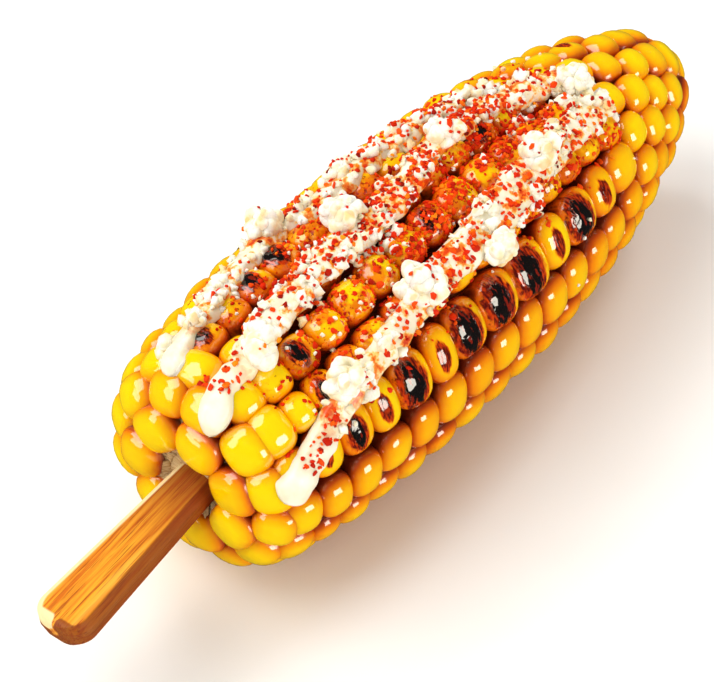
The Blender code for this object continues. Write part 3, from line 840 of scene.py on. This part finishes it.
def stick_mesh():
    """Rings of a bevelled rectangle from the outer end inwards. Each direction of an ellipse is cut
    off at whichever comes first: a flat side or a slanted corner. Near the end both half sizes
    follow a quarter circle. It stores places along the grain, and how much painted shade or painted
    highlight lies on each edge."""
    turns, rings = 160, 70
    level, drop = math.cos(STICK_DROOP), math.sin(STICK_DROOP)
    outer = Vector((-level * math.cos(STICK_SWAY), level * math.sin(STICK_SWAY), -drop))
    inward = np.array(-outer)
    across = np.cross([0, 0, 1], inward)
    across = across / np.linalg.norm(across)
    upward = np.cross(inward, across)
    length = STICK_OUTSIDE + STICK_INSIDE
    way = (length * np.linspace(0, 1, rings) ** 2.2)[:, None] + 0.01 * MM
    turn = full_turn(turns)
    width = STICK_END_WIDTH / 2 + (STICK_INNER_WIDTH - STICK_END_WIDTH) / 2 * way / length
    into_corner = np.clip(1 - way / CORNER_ROUND, 0, 1)
    into_edge = np.clip(1 - way / EDGE_ROUND, 0, 1)
    half_width = width - CORNER_ROUND * (1 - np.sqrt(1 - into_corner**2))
    half_thick = STICK_THICKNESS / 2 - EDGE_ROUND * (1 - np.sqrt(1 - into_edge**2))
    wide, thick = np.cos(turn) * half_width, np.sin(turn) * half_thick
    bevel = np.minimum(STICK_BEVEL, 0.9 * half_thick)
    flats = np.maximum(np.abs(wide) / half_width, np.abs(thick) / half_thick)
    slants = (np.abs(wide) + np.abs(thick)) / (half_width + half_thick - bevel)
    wide, thick = wide / np.maximum(flats, slants), thick / np.maximum(flats, slants)
    way = way + 0 * turn
    tip = np.array(AXIS + STICK_OFF_AXIS + outer * STICK_OUTSIDE)
    points = tip + inward * way[..., None] + across * wide[..., None] + upward * thick[..., None]
    poles = [tip, tip + inward * (length + 1 * MM)]
    mesh = balls_mesh("stick_wood", with_poles(points, poles)[None], turns, rings)
    grain = np.stack([way / GRAIN_LENGTH, wide / GRAIN_WIDTH, thick / GRAIN_WIDTH], -1)
    tell(mesh, "grain", with_poles(grain, [[0, 0, 0], [5, 0, 0]]))
    # painted highlight on the top's left edge and the left of its end; painted shade on the right edge,
    # the right of the end and all of the underside
    near_side = np.clip(1.5 - (half_width - np.abs(wide)) / SIDE_LIGHT_REACH, 0, 1)
    near_end = np.clip(1.5 - way / END_LIGHT_REACH, 0, 1)
    on_left = np.clip(0.5 + 3 * wide / half_width, 0, 1)
    pale = np.maximum(near_side * (wide > 0), near_end * on_left) * (thick > 0)
    dark = np.maximum(np.maximum(near_side * (wide < 0), near_end * (1 - on_left)), thick < 0)
    damp_and_light = np.stack([way / STICK_OUTSIDE, dark - pale, 0 * way], -1)
    tell(mesh, "damp_and_light", with_poles(damp_and_light, [[0, 0, 0], [1, 0, 0]]))
    return mesh


stick = add_piece(stick_mesh(), WOOD, ("stick",))

# %% [markdown]
# ## Crema
#
# Crema is poured along the ear in bands. It is thick, so its top is smooth, but it sags into the
# grooves between kernels and its edge runs round each one. A band is a closed tube, flattened: its
# underside lies just inside the kernels, and its top is their relief, blurred, plus the crema's own
# thickness. That relief comes from the kernels' formula, for a whole grid of places at once.

# %% How high the kernels stand anywhere
def kernel_relief(length, angle):
    """Depth below the outline of the highest kernel over each place. Inside a kernel's plan, its
    dome falls by dome * (1 - (1 - plan^q)^(1/q)); elsewhere the place is a groove one dome deep."""
    length, angle = np.broadcast_arrays(length, angle)
    radius = np.maximum(radius_at(length), 1 * MM)
    deepest = np.full(length.shape, DOME)
    kernels = zip(LENGTH, ANGLE, HALF_ALONG, HALF_AROUND, SINK, RISE)
    for at, turn, half_along, half_around, sink, dome in kernels:
        p = np.abs(length - at) / half_along
        q = np.abs(wrapped(angle - turn)) * radius / half_around
        plan = (p**PLAN_POWER + q**PLAN_POWER) ** (SIDE_POWER / PLAN_POWER)
        rise = np.clip(1 - plan, 0, 1) ** (1 / SIDE_POWER)
        deepest = np.minimum(deepest, sink + dome * (1 - rise))
    return deepest


def blurred(values, times):
    """Each value becomes the mean of itself and its neighbours, over and over."""
    for _ in range(times):
        values = (np.roll(values, 1, 1) + 2 * values + np.roll(values, -1, 1)) / 4
        inner = (values[:-2] + 2 * values[1:-1] + values[2:]) / 4
        values = np.concatenate([values[:1], inner, values[-1:]])
    return values


# %% Crema finish
def crema_finish():
    constants = {
        "IOR": 1.45,
        "Coat Weight": 0.35,
        "Coat Roughness": 0.15,
        "Subsurface Weight": 0.25,
        "Subsurface Scale": 0.002,
        "Subsurface Radius": (1.0, 0.8, 0.55),
    }
    made, shader, place = finish("crema", constants)
    soft = place.noise(220, 3)
    fine = place.noise(1500, 2)
    color = soft.step(0.35, 0.7).mix(paint(240, 230, 200), paint(250, 245, 228))
    stain = told(place, "stain", "Fac")
    oil = place.noise(330, 3, 0.6)
    color = (0.85 * oil.step(0.47, 0.54) * stain).mix(color, paint(255, 200, 84))
    color = (0.9 * oil.step(0.53, 0.58) * stain).mix(color, paint(244, 118, 14))
    color = (0.9 * oil.step(0.60, 0.66) * stain).mix(color, paint(216, 52, 4))
    relief = 0.0002 * soft + 0.00002 * fine
    connect(shader, base_color=color, roughness=0.30 + 0.2 * soft, height=relief)
    return made


CREMA = crema_finish()

# %% Crema bands
BANDS = {  # stations as mm along, degrees from the top and half width in mm
    "crema_front": (
        (3.2, -72, 3.2),
        (7.5, -65.5, 3.1),
        (13.5, -58, 3.0),
        (23, -49, 2.9),
        (36, -44.5, 3.1),
        (50, -38, 3.5),
        (67, -36, 4.0),
        (82, -32, 4.4),
        (100, -29, 4.0),
        (110, -29, 3.4),
        (121, -27, 2.8),
    ),
    "crema_top": (
        (0.5, -20, 2.7),
        (6, -11, 2.6),
        (12, -10, 2.9),
        (24, -5, 3.1),
        (40, -2, 3.5),
        (55, -3, 3.8),
        (68, 1, 3.3),
        (82, 6, 3.2),
        (96, 6, 2.9),
        (106, 0, 3.2),
        (114, -3, 3.2),
        (120, -9, 2.6),
    ),
    "crema_back": (
        (4, 15.5, 2.2),
        (10, 21, 2.3),
        (20, 23, 2.6),
        (31, 28, 2.8),
        (43, 30, 3.0),
        (52, 24, 3.0),
        (66, 24, 3.2),
        (80, 22, 3.0),
        (98, 20, 2.6),
    ),
}
LIVELINESS = {"crema_front": 0.6, "crema_top": 1.0, "crema_back": 1.0}  # of the edges
BAND_END = 0.045  # of a band's length
TONGUE = 0.16  # how much wider its rounded ends are
WAVE_COUNT = 7
EDGE_WAVES, EDGE_WANDER, EDGE_CALM = (5, 22), 0.17, 0.2  # waves in a band, depth, calm first part
CREMA_THICK, THICK_WAVES, THICK_WANDER, TONGUE_THICK = 1.7 * MM, (3, 12), 0.22, 2.2
DOME_BLUNTNESS = 3.2
BLUR_TIMES, SAG = 14, 0.6  # how it evens out the kernels
LEAST_COVER, SUNK_EDGE, SUNK_UNDER, LIP = 0.2 * MM, 0.15 * MM, 0.7 * MM, 1.5 * MM


def smooth_route(stations, share):
    """A curve through the stations: cubic pieces whose slopes come from their neighbours."""
    stations = np.array(stations, float)
    before, after = 2 * stations[0] - stations[1], 2 * stations[-1] - stations[-2]
    padded = np.concatenate([[before], stations, [after]])
    at = np.clip(share, 0, 1) * (len(stations) - 1)
    first = np.minimum(at.astype(int), len(stations) - 2)
    t = (at - first)[:, None]
    a, b, c, d = (padded[first + step] for step in range(4))
    slope, bend, turn = c - a, 2 * a - 5 * b + 4 * c - d, 3 * b - a - 3 * c + d
    return 0.5 * (2 * b + slope * t + bend * t**2 + turn * t**3)


def wander(share, seed, waves):
    """A smooth random line: a few sines between two frequencies with random phases."""
    chance = np.random.default_rng(seed)
    phases = chance.uniform(0, 2 * math.pi, WAVE_COUNT)
    waves = np.linspace(*waves, WAVE_COUNT)
    return np.sin(2 * math.pi * waves * share + phases).sum(1, keepdims=True) / math.sqrt(WAVE_COUNT)


def crema_mesh(name, stations, liveliness):
    """The band as a flattened tube, square to its route. Round the tube, its top half rises by the
    thickness times a blunt dome, and its lower half dips inside the kernels."""
    turns, rings = 44, 260
    share = 0.5 - 0.5 * np.cos(np.linspace(0, math.pi, rings + 2)[1:-1])
    route = smooth_route(stations, share)
    length = length_at(route[:, :1] * MM)
    angle = np.radians(route[:, 1:2])
    half_width = route[:, 2:] * MM
    share = share[:, None]
    seed = len(name) * 7 + int(stations[0][0])

    # how wide it is to the left and to the right of its route
    into_end = np.clip(1 - np.minimum(share, 1 - share) / BAND_END, 0, 1)
    end = np.sqrt(1 - into_end**2)
    tongue = TONGUE * np.exp(-(((share - BAND_END) / BAND_END) ** 2))
    lively = EDGE_WANDER * liveliness * np.clip(share / EDGE_CALM, 0, 1)
    left = half_width * (1 + tongue + lively * wander(share, seed, EDGE_WAVES)) * end
    right = half_width * (1 + tongue + lively * wander(share, seed + 1, EDGE_WAVES)) * end
    turn = full_turn(turns)
    across = np.cos(turn)
    width = np.where(across < 0, left, right) * across

    # where that lies on the ear
    radius = radius_at(length)
    ahead, aside = np.gradient(length, axis=0), np.gradient(angle, axis=0) * radius
    step = np.hypot(ahead, aside)
    spread = angle + width * ahead / step / radius
    length = length - width * aside / step

    # how high it stands there
    relief = kernel_relief(length, spread)
    dome = np.clip(1 - np.abs(across) ** DOME_BLUNTNESS, 0, 1) ** 0.5
    uneven = 1 + THICK_WANDER * wander(share, seed + 2, THICK_WAVES) + TONGUE_THICK * tongue
    sagging = np.minimum(SAG * blurred(relief, BLUR_TIMES), relief + LEAST_COVER)
    over = CREMA_THICK * uneven * dome * np.sqrt(end) - sagging
    under = -relief - SUNK_UNDER * (0.25 + dome)
    edge = LIP * np.exp(-((share / (2 * BAND_END)) ** 2)) - relief - SUNK_EDGE
    lift = np.where(np.sin(turn) > 0, edge + (over - edge) * np.clip(dome * 1.6, 0, 1), under)

    place, _, _, outward = ear_frame(length, spread)
    points = place + outward * lift[..., None]
    poles = [points[0].mean(0), points[-1].mean(0)]
    mesh = balls_mesh(name + "_pour", with_poles(points, poles)[None], turns, rings)
    tell(mesh, "stain", np.append(stain_of(length, spread).ravel(), [0, 0]))
    return mesh


crema_pieces = []
for name, stations in BANDS.items():
    pour = crema_mesh(name, stations, LIVELINESS[name])
    crema_pieces.append(add_piece(pour, CREMA, (name,)))

# %% [markdown]
# ## Dropping things on the ear
#
# Crumbs and flakes fall on whatever is highest: a kernel, crema or another crumb. Each is aimed at a
# place on the ear and dropped straight at the axis until it meets the surfaces built so far, which
# also tells which way the surface faces there.

# %% A surface to drop on
DROP_HEIGHT = 15 * MM


def surface_of(pieces):
    """The pieces' triangles, as they look when rounded, in one tree that rays can hit."""
    graph = bpy.context.evaluated_depsgraph_get()
    points, faces, first = [], [], 0
    for piece in pieces:
        mesh = piece.evaluated_get(graph).to_mesh()
        mesh.calc_loop_triangles()
        spots = np.empty(len(mesh.vertices) * 3, np.float32)
        mesh.vertices.foreach_get("co", spots)
        corners = np.empty(len(mesh.loop_triangles) * 3, np.int32)
        mesh.loop_triangles.foreach_get("vertices", corners)
        points.append(spots.reshape(-1, 3))
        faces.append(corners.reshape(-1, 3) + first)
        first += len(mesh.vertices)
    return BVHTree.FromPolygons(np.concatenate(points).tolist(), np.concatenate(faces).tolist())


def drop(surface, x, degrees):
    """Where each thing lands, and the surface's direction there."""
    radians = np.radians(degrees)
    start = round_axis(x, outline_radius(x) + DROP_HEIGHT, radians)
    axis = round_axis(x, 0, radians)
    landed, facing = [], []
    for origin, target in zip(start, axis):
        way = Vector(target - origin).normalized()
        hit, normal, _, _ = surface.ray_cast(Vector(origin), way)
        landed.append(hit if hit else target)
        facing.append((normal if normal.dot(way) < 0 else -normal) if hit else -way)
    return np.array(landed), np.array(facing)


def frames_for(facing, spin):
    """Two directions across each facing, turned by a random spin."""
    helper = np.where(np.abs(facing[:, :1]) < 0.9, [[1.0, 0, 0]], [[0, 1.0, 0]])
    first = np.cross(facing, helper)
    first /= np.linalg.norm(first, axis=1, keepdims=True)
    second = np.cross(facing, first)
    cosine, sine = np.cos(spin)[:, None], np.sin(spin)[:, None]
    return first * cosine + second * sine, second * cosine - first * sine


# %% [markdown]
# ## Cheese
#
# Fresh cheese breaks into curds: small knobbly grains with blunt corners. A lump is a heap of such
# curds, and the crumbs are single ones. Sculpting one lump and copying it would show, so all curds
# are worked out together: a coarse ball, pushed in and out by a few random waves of direction.

# %% Cheese finish
def cheese_finish():
    constants = {
        "IOR": 1.4,
        "Subsurface Weight": 0.2,
        "Subsurface Scale": 0.0015,
        "Subsurface Radius": (1.0, 0.85, 0.6),
    }
    made, shader, place = finish("fresh_cheese", constants)
    soft = place.noise(380, 3)
    grit = place.noise(2600, 3, 0.65)
    color = soft.step(0.32, 0.62).mix(paint(246, 232, 186), paint(255, 254, 244))
    color = (0.6 * place.noise(260, 2).step(0.58, 0.66)).mix(color, paint(252, 196, 96))
    relief = 0.00012 * grit + 0.00015 * soft
    connect(shader, base_color=color, roughness=0.55 + 0.25 * grit, height=relief)
    return made


CHEESE = cheese_finish()

# %% Curds
CURD_TURNS, CURD_RINGS = 8, 5
CURD_WAVES, WAVE_DENSITY, WAVE_DEPTH = 5, 2.2, 0.14
CURD_BLUNTNESS = 4.5  # 2 would leave a ball, more squares it off
CURD_STRETCH = (0.8, 1.2)
OUTER_CURDS, OUTER_REACH, OUTER_SIZE = 19, (0.60, 0.76), (0.28, 0.48)  # shares of a lump's half size
INNER_CURDS, INNER_SPREAD, INNER_SIZE = 4, 0.22, (0.5, 0.6)


def curds_mesh(name, centres, sizes, chance):
    """Curds at their centres: each direction of a ball is scaled by 1 plus random waves of it."""
    count = len(centres)
    way = ball_directions(CURD_TURNS, CURD_RINGS)
    waves = chance.normal(0, WAVE_DENSITY, (count, CURD_WAVES, 3))
    phases = chance.uniform(0, 2 * math.pi, (count, CURD_WAVES, 1))
    swell = 1 + WAVE_DEPTH * np.sin(waves @ way.T + phases).sum(1)
    blunt = (np.abs(way) ** CURD_BLUNTNESS).sum(1) ** (-1 / CURD_BLUNTNESS)
    stretch = chance.uniform(*CURD_STRETCH, (count, 1, 3))
    turned, _ = np.linalg.qr(chance.normal(0, 1, (count, 3, 3)))
    turned *= np.sign(np.linalg.det(turned))[:, None, None]  # turned only, never mirrored
    local = way[None] * (swell * blunt[None])[..., None] * stretch * sizes[:, None, None]
    points = np.einsum("nij,nvj->nvi", turned, local) + centres[:, None]
    return balls_mesh(name, points, CURD_TURNS, CURD_RINGS)


def lump_mesh(name, node, seed):
    """A lump: curds set round the middle of the measured lump's box, and larger ones inside."""
    chance = np.random.default_rng(seed)
    low, high = (np.array(corner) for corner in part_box(node))
    middle, half = (low + high) / 2, (high - low) / 2
    way = chance.normal(0, 1, (OUTER_CURDS, 3))
    way /= np.linalg.norm(way, axis=1, keepdims=True)
    outer = way * chance.uniform(*OUTER_REACH, (OUTER_CURDS, 1))
    inner = chance.normal(0, INNER_SPREAD, (INNER_CURDS, 3))
    centres = middle + np.concatenate([outer, inner]) * half
    outer_sizes = chance.uniform(*OUTER_SIZE, OUTER_CURDS)
    sizes = np.concatenate([outer_sizes, chance.uniform(*INNER_SIZE, INNER_CURDS)]) * half.mean()
    return curds_mesh(name, centres, sizes, chance)


lump_pieces = []
for number in range(1, 10):
    node = f"cheese_{number}"
    lump = lump_mesh(f"{node}_curds", node, 100 + number)
    lump_pieces.append(add_piece(lump, CHEESE, (node,), smooth=1))

# %% Scattered crumbs
HEAPS = (  # of crumbs: mm along, degrees from the top, and how many
    (9, 27, 5),
    (16, 23, 8),
    (24, 26, 9),
    (42, 30, 9),
    (52, 26, 7),
    (63, 25, 10),
    (70, 23, 9),
    (78, 19, 8),
    (87, 15, 10),
    (98, 17, 9),
    (104, 18, 9),
    (85, -40, 8),
    (118, -28, 12),
    (112, -18, 12),
    (101, -26, 8),
    (56, -9, 7),
    (50, -13, 7),
    (44, -8, 8),
    (33, -6, 6),
    (27, -48, 6),
    (36, -42, 6),
    (30, -8, 8),
    (74, -30, 6),
    (100, -8, 10),
    (108, 2, 8),
)
HEAP_SPREAD, HEAP_CRUMB = 1.5, (0.7, 1.3)  # mm; a crumb's size is half its width
EDGE_CRUMBS = {"crema_front": 60, "crema_top": 90, "crema_back": 80}
EDGE_CRUMB, EDGE_REACH = (0.4, 0.95), 1.1  # mm, and of the band's half width
LOOSE_CRUMBS, LOOSE_CRUMB, LOOSE_X = 260, (0.2, 0.45), (16, 124)  # how many, and the rest in mm
LOOSE_MIDDLE, LOOSE_SPREAD = -4, 24  # degrees from the top
CRUMB_LIFT = 0.35  # of its size, how far a crumb's middle stands off what it fell on


def crumb_places(chance):
    """Crumbs lie in small heaps, along the edges of the crema and, the smallest, all over."""
    xs, turns, sizes = [], [], []
    for x, degrees, count in HEAPS:
        xs.append((x + chance.normal(0, HEAP_SPREAD, count)) * MM)
        aside = chance.normal(0, HEAP_SPREAD, count) * MM
        turns.append(degrees + np.degrees(aside / outline_radius(x * MM)))
        sizes.append(chance.uniform(*HEAP_CRUMB, count) * MM)
    for name, count in EDGE_CRUMBS.items():
        route = smooth_route(BANDS[name], chance.uniform(0.22, 1.0, count))
        xs.append(route[:, 0] * MM)
        side = chance.choice([-1, 1], count) * chance.beta(4, 1.4, count) * EDGE_REACH
        aside = side * route[:, 2] * MM
        turns.append(route[:, 1] + np.degrees(aside / outline_radius(xs[-1])))
        sizes.append(chance.uniform(*EDGE_CRUMB, count) * MM)
    xs.append(chance.uniform(*LOOSE_X, LOOSE_CRUMBS) * MM)
    turns.append(chance.normal(LOOSE_MIDDLE, LOOSE_SPREAD, LOOSE_CRUMBS))
    sizes.append(chance.uniform(*LOOSE_CRUMB, LOOSE_CRUMBS) * MM)
    return np.concatenate(xs), np.concatenate(turns), np.concatenate(sizes)


chance = np.random.default_rng(5)
crumb_x, crumb_degrees, crumb_size = crumb_places(chance)
base_surface = surface_of(kernel_pieces + crema_pieces)
landed, facing = drop(base_surface, crumb_x, crumb_degrees)
middles = landed + facing * crumb_size[:, None] * CRUMB_LIFT
crumbs = add_piece(curds_mesh("cheese_crumbs", middles, crumb_size, chance), CHEESE)

# %% [markdown]
# ## Chili flakes
#
# The flakes are flat chips of dried chili, about a millimetre across, from dark red to orange. Each
# is a thin six-sided plate with uneven corners, laid on what it fell on and tipped a little.

# %% Chili finish
def chili_finish():
    made, shader, place = finish("chili_flake", {"Specular IOR Level": 0.15})
    shade = told(place, "shade", "Fac") + 0.15 * (place.noise(1800, 2) - 0.5)
    color = shade.ramp(
        (0.0, paint(110, 12, 0)),
        (0.25, paint(184, 24, 0)),
        (0.50, paint(226, 42, 0)),
        (0.80, paint(240, 80, 2)),
        (1.0, paint(250, 150, 14)),
    )
    rough = 0.45 + 0.2 * place.noise(1500, 2)
    connect(shader, base_color=color, roughness=rough, height=0.0001 * place.noise(2500, 2))
    return made


CHILI = chili_finish()

# %% Flake shapes
FLAKE_SIDES = 6
SMALLEST_FLAKE, FLAKE_RANGE = 0.26, 0.95  # mm from the middle to the corners
FLAKE_CORNERS, FLAKE_STRETCH, FLAKE_THICK = (0.72, 1.1), (0.5, 1.0), (0.14, 0.26)  # the last in mm
FLAKE_TILT = 0.22
FLAKE_EDGE, FLAKE_BULGE = 0.86, 1.35  # of the corners' reach, and of the half thickness
FLAKE_LIFT = 0.10 * MM


def flakes_mesh(name, landed, facing, chance):
    """Plates: six corners at uneven distances, a thickness, and a bulge in the middle of each side."""
    count = len(landed)
    corners = (count, FLAKE_SIDES)
    size = (SMALLEST_FLAKE + FLAKE_RANGE * chance.beta(1.3, 2.8, count))[:, None] * MM
    turn = 2 * math.pi * (np.arange(FLAKE_SIDES) + chance.uniform(-0.28, 0.28, corners)) / FLAKE_SIDES
    reach = size * chance.uniform(*FLAKE_CORNERS, corners)
    thick = chance.uniform(*FLAKE_THICK, (count, 1)) * MM
    stretch = chance.uniform(*FLAKE_STRETCH, (count, 1))
    tip_x, tip_y = chance.normal(0, FLAKE_TILT, (2, count, 1))
    across, over = reach * np.cos(turn), reach * np.sin(turn) * stretch
    tilt = tip_x * across + tip_y * over
    rings = []
    for share, height in ((FLAKE_EDGE, -1.0), (1.0, 0.0), (FLAKE_EDGE, 1.0)):
        rings.append(np.stack([across * share, over * share, tilt * share + thick * height], -1))
    top = np.stack([0 * thick, 0 * thick, thick * FLAKE_BULGE], -1)
    local = np.concatenate([*rings, -top, top], 1)
    first, second = frames_for(facing, chance.uniform(0, 2 * math.pi, count))
    points = landed[:, None] + facing[:, None] * (FLAKE_LIFT + local[..., 2:])
    points = points + first[:, None] * local[..., :1] + second[:, None] * local[..., 1:2]
    mesh = balls_mesh(name, points, FLAKE_SIDES, len(rings))
    tell(mesh, "shade", np.repeat(chance.beta(2.2, 1.6, count), local.shape[1]))
    return mesh


# %% Where the flakes fell
TONGUE_PINCHES = (  # mm along, degrees from the top, how many, and their spread in mm
    (10, -60, 16, 1.5),
    (14, -55, 16, 1.6),
    (18, -51, 16, 1.6),
    (7, -11, 14, 1.4),
    (11, -10, 16, 1.5),
    (15, -9, 14, 1.5),
    (14, -27, 10, 2.2),
    (6, -2, 5, 1.0),
)
MM_TO_DEGREES = 2.4  # round the ear, near the butt
PINCHES, IN_A_PINCH, PINCH_SPREAD, PINCH_TURN = 58, 30, 3.2, 6.5  # the spreads in mm and degrees
PINCH_X, PINCH_MIDDLE, PINCHES_SPREAD = (12, 70, 122), -12, 22  # mm, then degrees from the top
LOOSE_FLAKES, LOOSE_FLAKE_X, LOOSE_FLAKE_MIDDLE, LOOSE_FLAKE_SPREAD = 1400, (6, 66, 130), -9, 27
FLAKE_SHARE = 0.95  # of the flakes, this share stays in the middle of the dressed field
LUMP_SHARE = 0.15  # and of those that meet a cheese lump, this one
ON_LUMP = 0.05 * MM


def flake_places(chance):
    """Over half of the flakes fell in pinches, the others all over the dressed field, thinning
    towards its ends and sides. A few more pinches lie on the ends of the crema at the butt."""
    middle_x = chance.triangular(*PINCH_X, PINCHES)
    middle_turn = chance.normal(PINCH_MIDDLE, PINCHES_SPREAD, PINCHES)
    x = (middle_x[:, None] + chance.normal(0, PINCH_SPREAD, (PINCHES, IN_A_PINCH))).ravel()
    degrees = (middle_turn[:, None] + chance.normal(0, PINCH_TURN, (PINCHES, IN_A_PINCH))).ravel()
    x = np.concatenate([x, chance.triangular(*LOOSE_FLAKE_X, LOOSE_FLAKES)]) * MM
    loose_turn = chance.normal(LOOSE_FLAKE_MIDDLE, LOOSE_FLAKE_SPREAD, LOOSE_FLAKES)
    degrees = np.concatenate([degrees, loose_turn])
    stain = stain_of(length_at(x), np.radians(degrees))
    kept = stain * FLAKE_SHARE > chance.uniform(0, 1, len(x))
    x, degrees = [x[kept]], [degrees[kept]]
    for middle_x, middle_turn, count, spread in TONGUE_PINCHES:
        x.append((middle_x + chance.normal(0, spread, count)) * MM)
        degrees.append(middle_turn + chance.normal(0, spread, count) * MM_TO_DEGREES)
    return np.concatenate(x), np.concatenate(degrees)


chance = np.random.default_rng(9)
flake_x, flake_degrees = flake_places(chance)
soft_ground = kernel_pieces + crema_pieces + [crumbs]
landed, facing = drop(surface_of(soft_ground + lump_pieces), flake_x, flake_degrees)
below, _ = drop(surface_of(soft_ground), flake_x, flake_degrees)
on_lump = np.linalg.norm(landed - below, axis=1) > ON_LUMP
stays = ~on_lump | (chance.uniform(0, 1, len(landed)) < LUMP_SHARE)
landed, facing = landed[stays], facing[stays]
flakes = add_piece(flakes_mesh("chili_flakes", landed, facing, chance), CHILI)
print(f"{len(landed)} flakes, {len(crumb_x)} crumbs")

# %% [markdown]
# ## Light, floor and camera
#
# A white table in a pale room. A large soft key stands high on the left, two small lamps behind the
# ear draw its edges, a weak one in front and one on the left fill the shade, and a low warm one on
# the right lights the side that faces the camera. Only the larger ones show in reflections, which
# keeps the gloss of the kernels to a few clear marks. The camera looks down on the ear from the
# stick's side with a long lens, which keeps the ear's taper true.

# %% Floor
def floor_finish():
    made, shader, place = finish("table_white", {"Base Color": paint(250, 250, 249)})
    connect(shader, roughness=0.75 + 0.05 * place.noise(20, 2))
    return made


FLOOR_HALF = 1.5
corners = [(x * FLOOR_HALF, y * FLOOR_HALF, 0) for x, y in ((-1, -1), (1, -1), (1, 1), (-1, 1))]
floor_mesh = bpy.data.meshes.new("floor")
floor_mesh.from_pydata(corners, [], [(0, 1, 2, 3)])
floor_mesh.materials.append(floor_finish())
floor = bpy.data.objects.new("floor", floor_mesh)
bpy.context.scene.collection.objects.link(floor)

# %% Camera
CAMERA_TURN = math.radians(38.24)  # from +X towards +Y, the way it looks
CAMERA_DOWN = math.radians(44.70)
CAMERA_DISTANCE = 480.8 * MM
LOOK_AT = Vector((AXIS.x + 49.4 * MM, AXIS.y - 1.6 * MM, AXIS.z))
LENS, SENSOR_WIDTH = 122.6, 36


def direction(turn, height):
    """The direction at an angle from +X towards +Y and an angle up."""
    level = math.cos(height)
    return Vector((math.cos(turn) * level, math.sin(turn) * level, math.sin(height)))


looking = direction(CAMERA_TURN, -CAMERA_DOWN)
camera_data = bpy.data.cameras.new("Camera")
camera_data.lens = LENS
camera_data.sensor_width = SENSOR_WIDTH
camera_data.clip_start = 10 * MM
camera = bpy.data.objects.new("Camera", camera_data)
camera.location = LOOK_AT - looking * CAMERA_DISTANCE
camera.rotation_euler = looking.to_track_quat("-Z", "Y").to_euler()
bpy.context.scene.collection.objects.link(camera)
bpy.context.scene.camera = camera
print(f"the camera stands {camera.location.z / MM:.0f} mm above the table")

# %% Lights
ROOM_LIGHT, ROOM_GLOSS, BACKDROP = 0.24, 0.05, 0.9  # the room as lamp, in reflections and as seen
LAMP_DISTANCE = 0.9
WARM, WARMER = (1, 0.98, 0.93), (1, 0.93, 0.80)


def area_light(name, turn, height, size, power, color=(1, 1, 1), seen_in_gloss=True):
    """A lamp that looks at the ear: turn is its direction from +X, height its angle up."""
    lamp = bpy.data.lights.new(name, "AREA")
    lamp.shape = "RECTANGLE"
    lamp.size, lamp.size_y = size
    lamp.energy = power
    lamp.color = color
    way = direction(math.radians(turn), math.radians(height))
    obj = bpy.data.objects.new(name, lamp)
    obj.location = LOOK_AT + way * LAMP_DISTANCE
    obj.rotation_euler = (-way).to_track_quat("-Z", "Y").to_euler()
    obj.visible_glossy = seen_in_gloss
    bpy.context.scene.collection.objects.link(obj)
    print(f"{name}: {power} W")


area_light("key", 137, 56, (0.74, 0.76), 6.1, WARM)
area_light("back_left", 66, 50, (0.26, 0.26), 2.0, seen_in_gloss=False)
area_light("back_right", 0, 42, (0.26, 0.26), 2.3, seen_in_gloss=False)
area_light("front", 205, 40, (0.4, 0.4), 0.9, seen_in_gloss=False)
area_light("left", 156, 20, (0.5, 0.4), 1.8, WARM)
area_light("low_side", -92, 11, (0.5, 0.36), 4.4, WARMER)
floor.visible_glossy = False

world = bpy.data.worlds.new("studio")
world.use_nodes = True
sky = world.node_tree.nodes["Background"]
sky.inputs["Color"].default_value = (1, 1, 1, 1)
light_path = world.node_tree.nodes.new("ShaderNodeLightPath")
seen = Wire(world.node_tree, light_path.outputs["Is Camera Ray"])
mirrored = Wire(world.node_tree, light_path.outputs["Is Glossy Ray"])
brightness = ROOM_LIGHT + (BACKDROP - ROOM_LIGHT) * seen + (ROOM_GLOSS - ROOM_LIGHT) * mirrored
world.node_tree.links.new(brightness.socket, sky.inputs["Strength"])
bpy.context.scene.world = world
bpy.context.scene.view_settings.view_transform = "Standard"
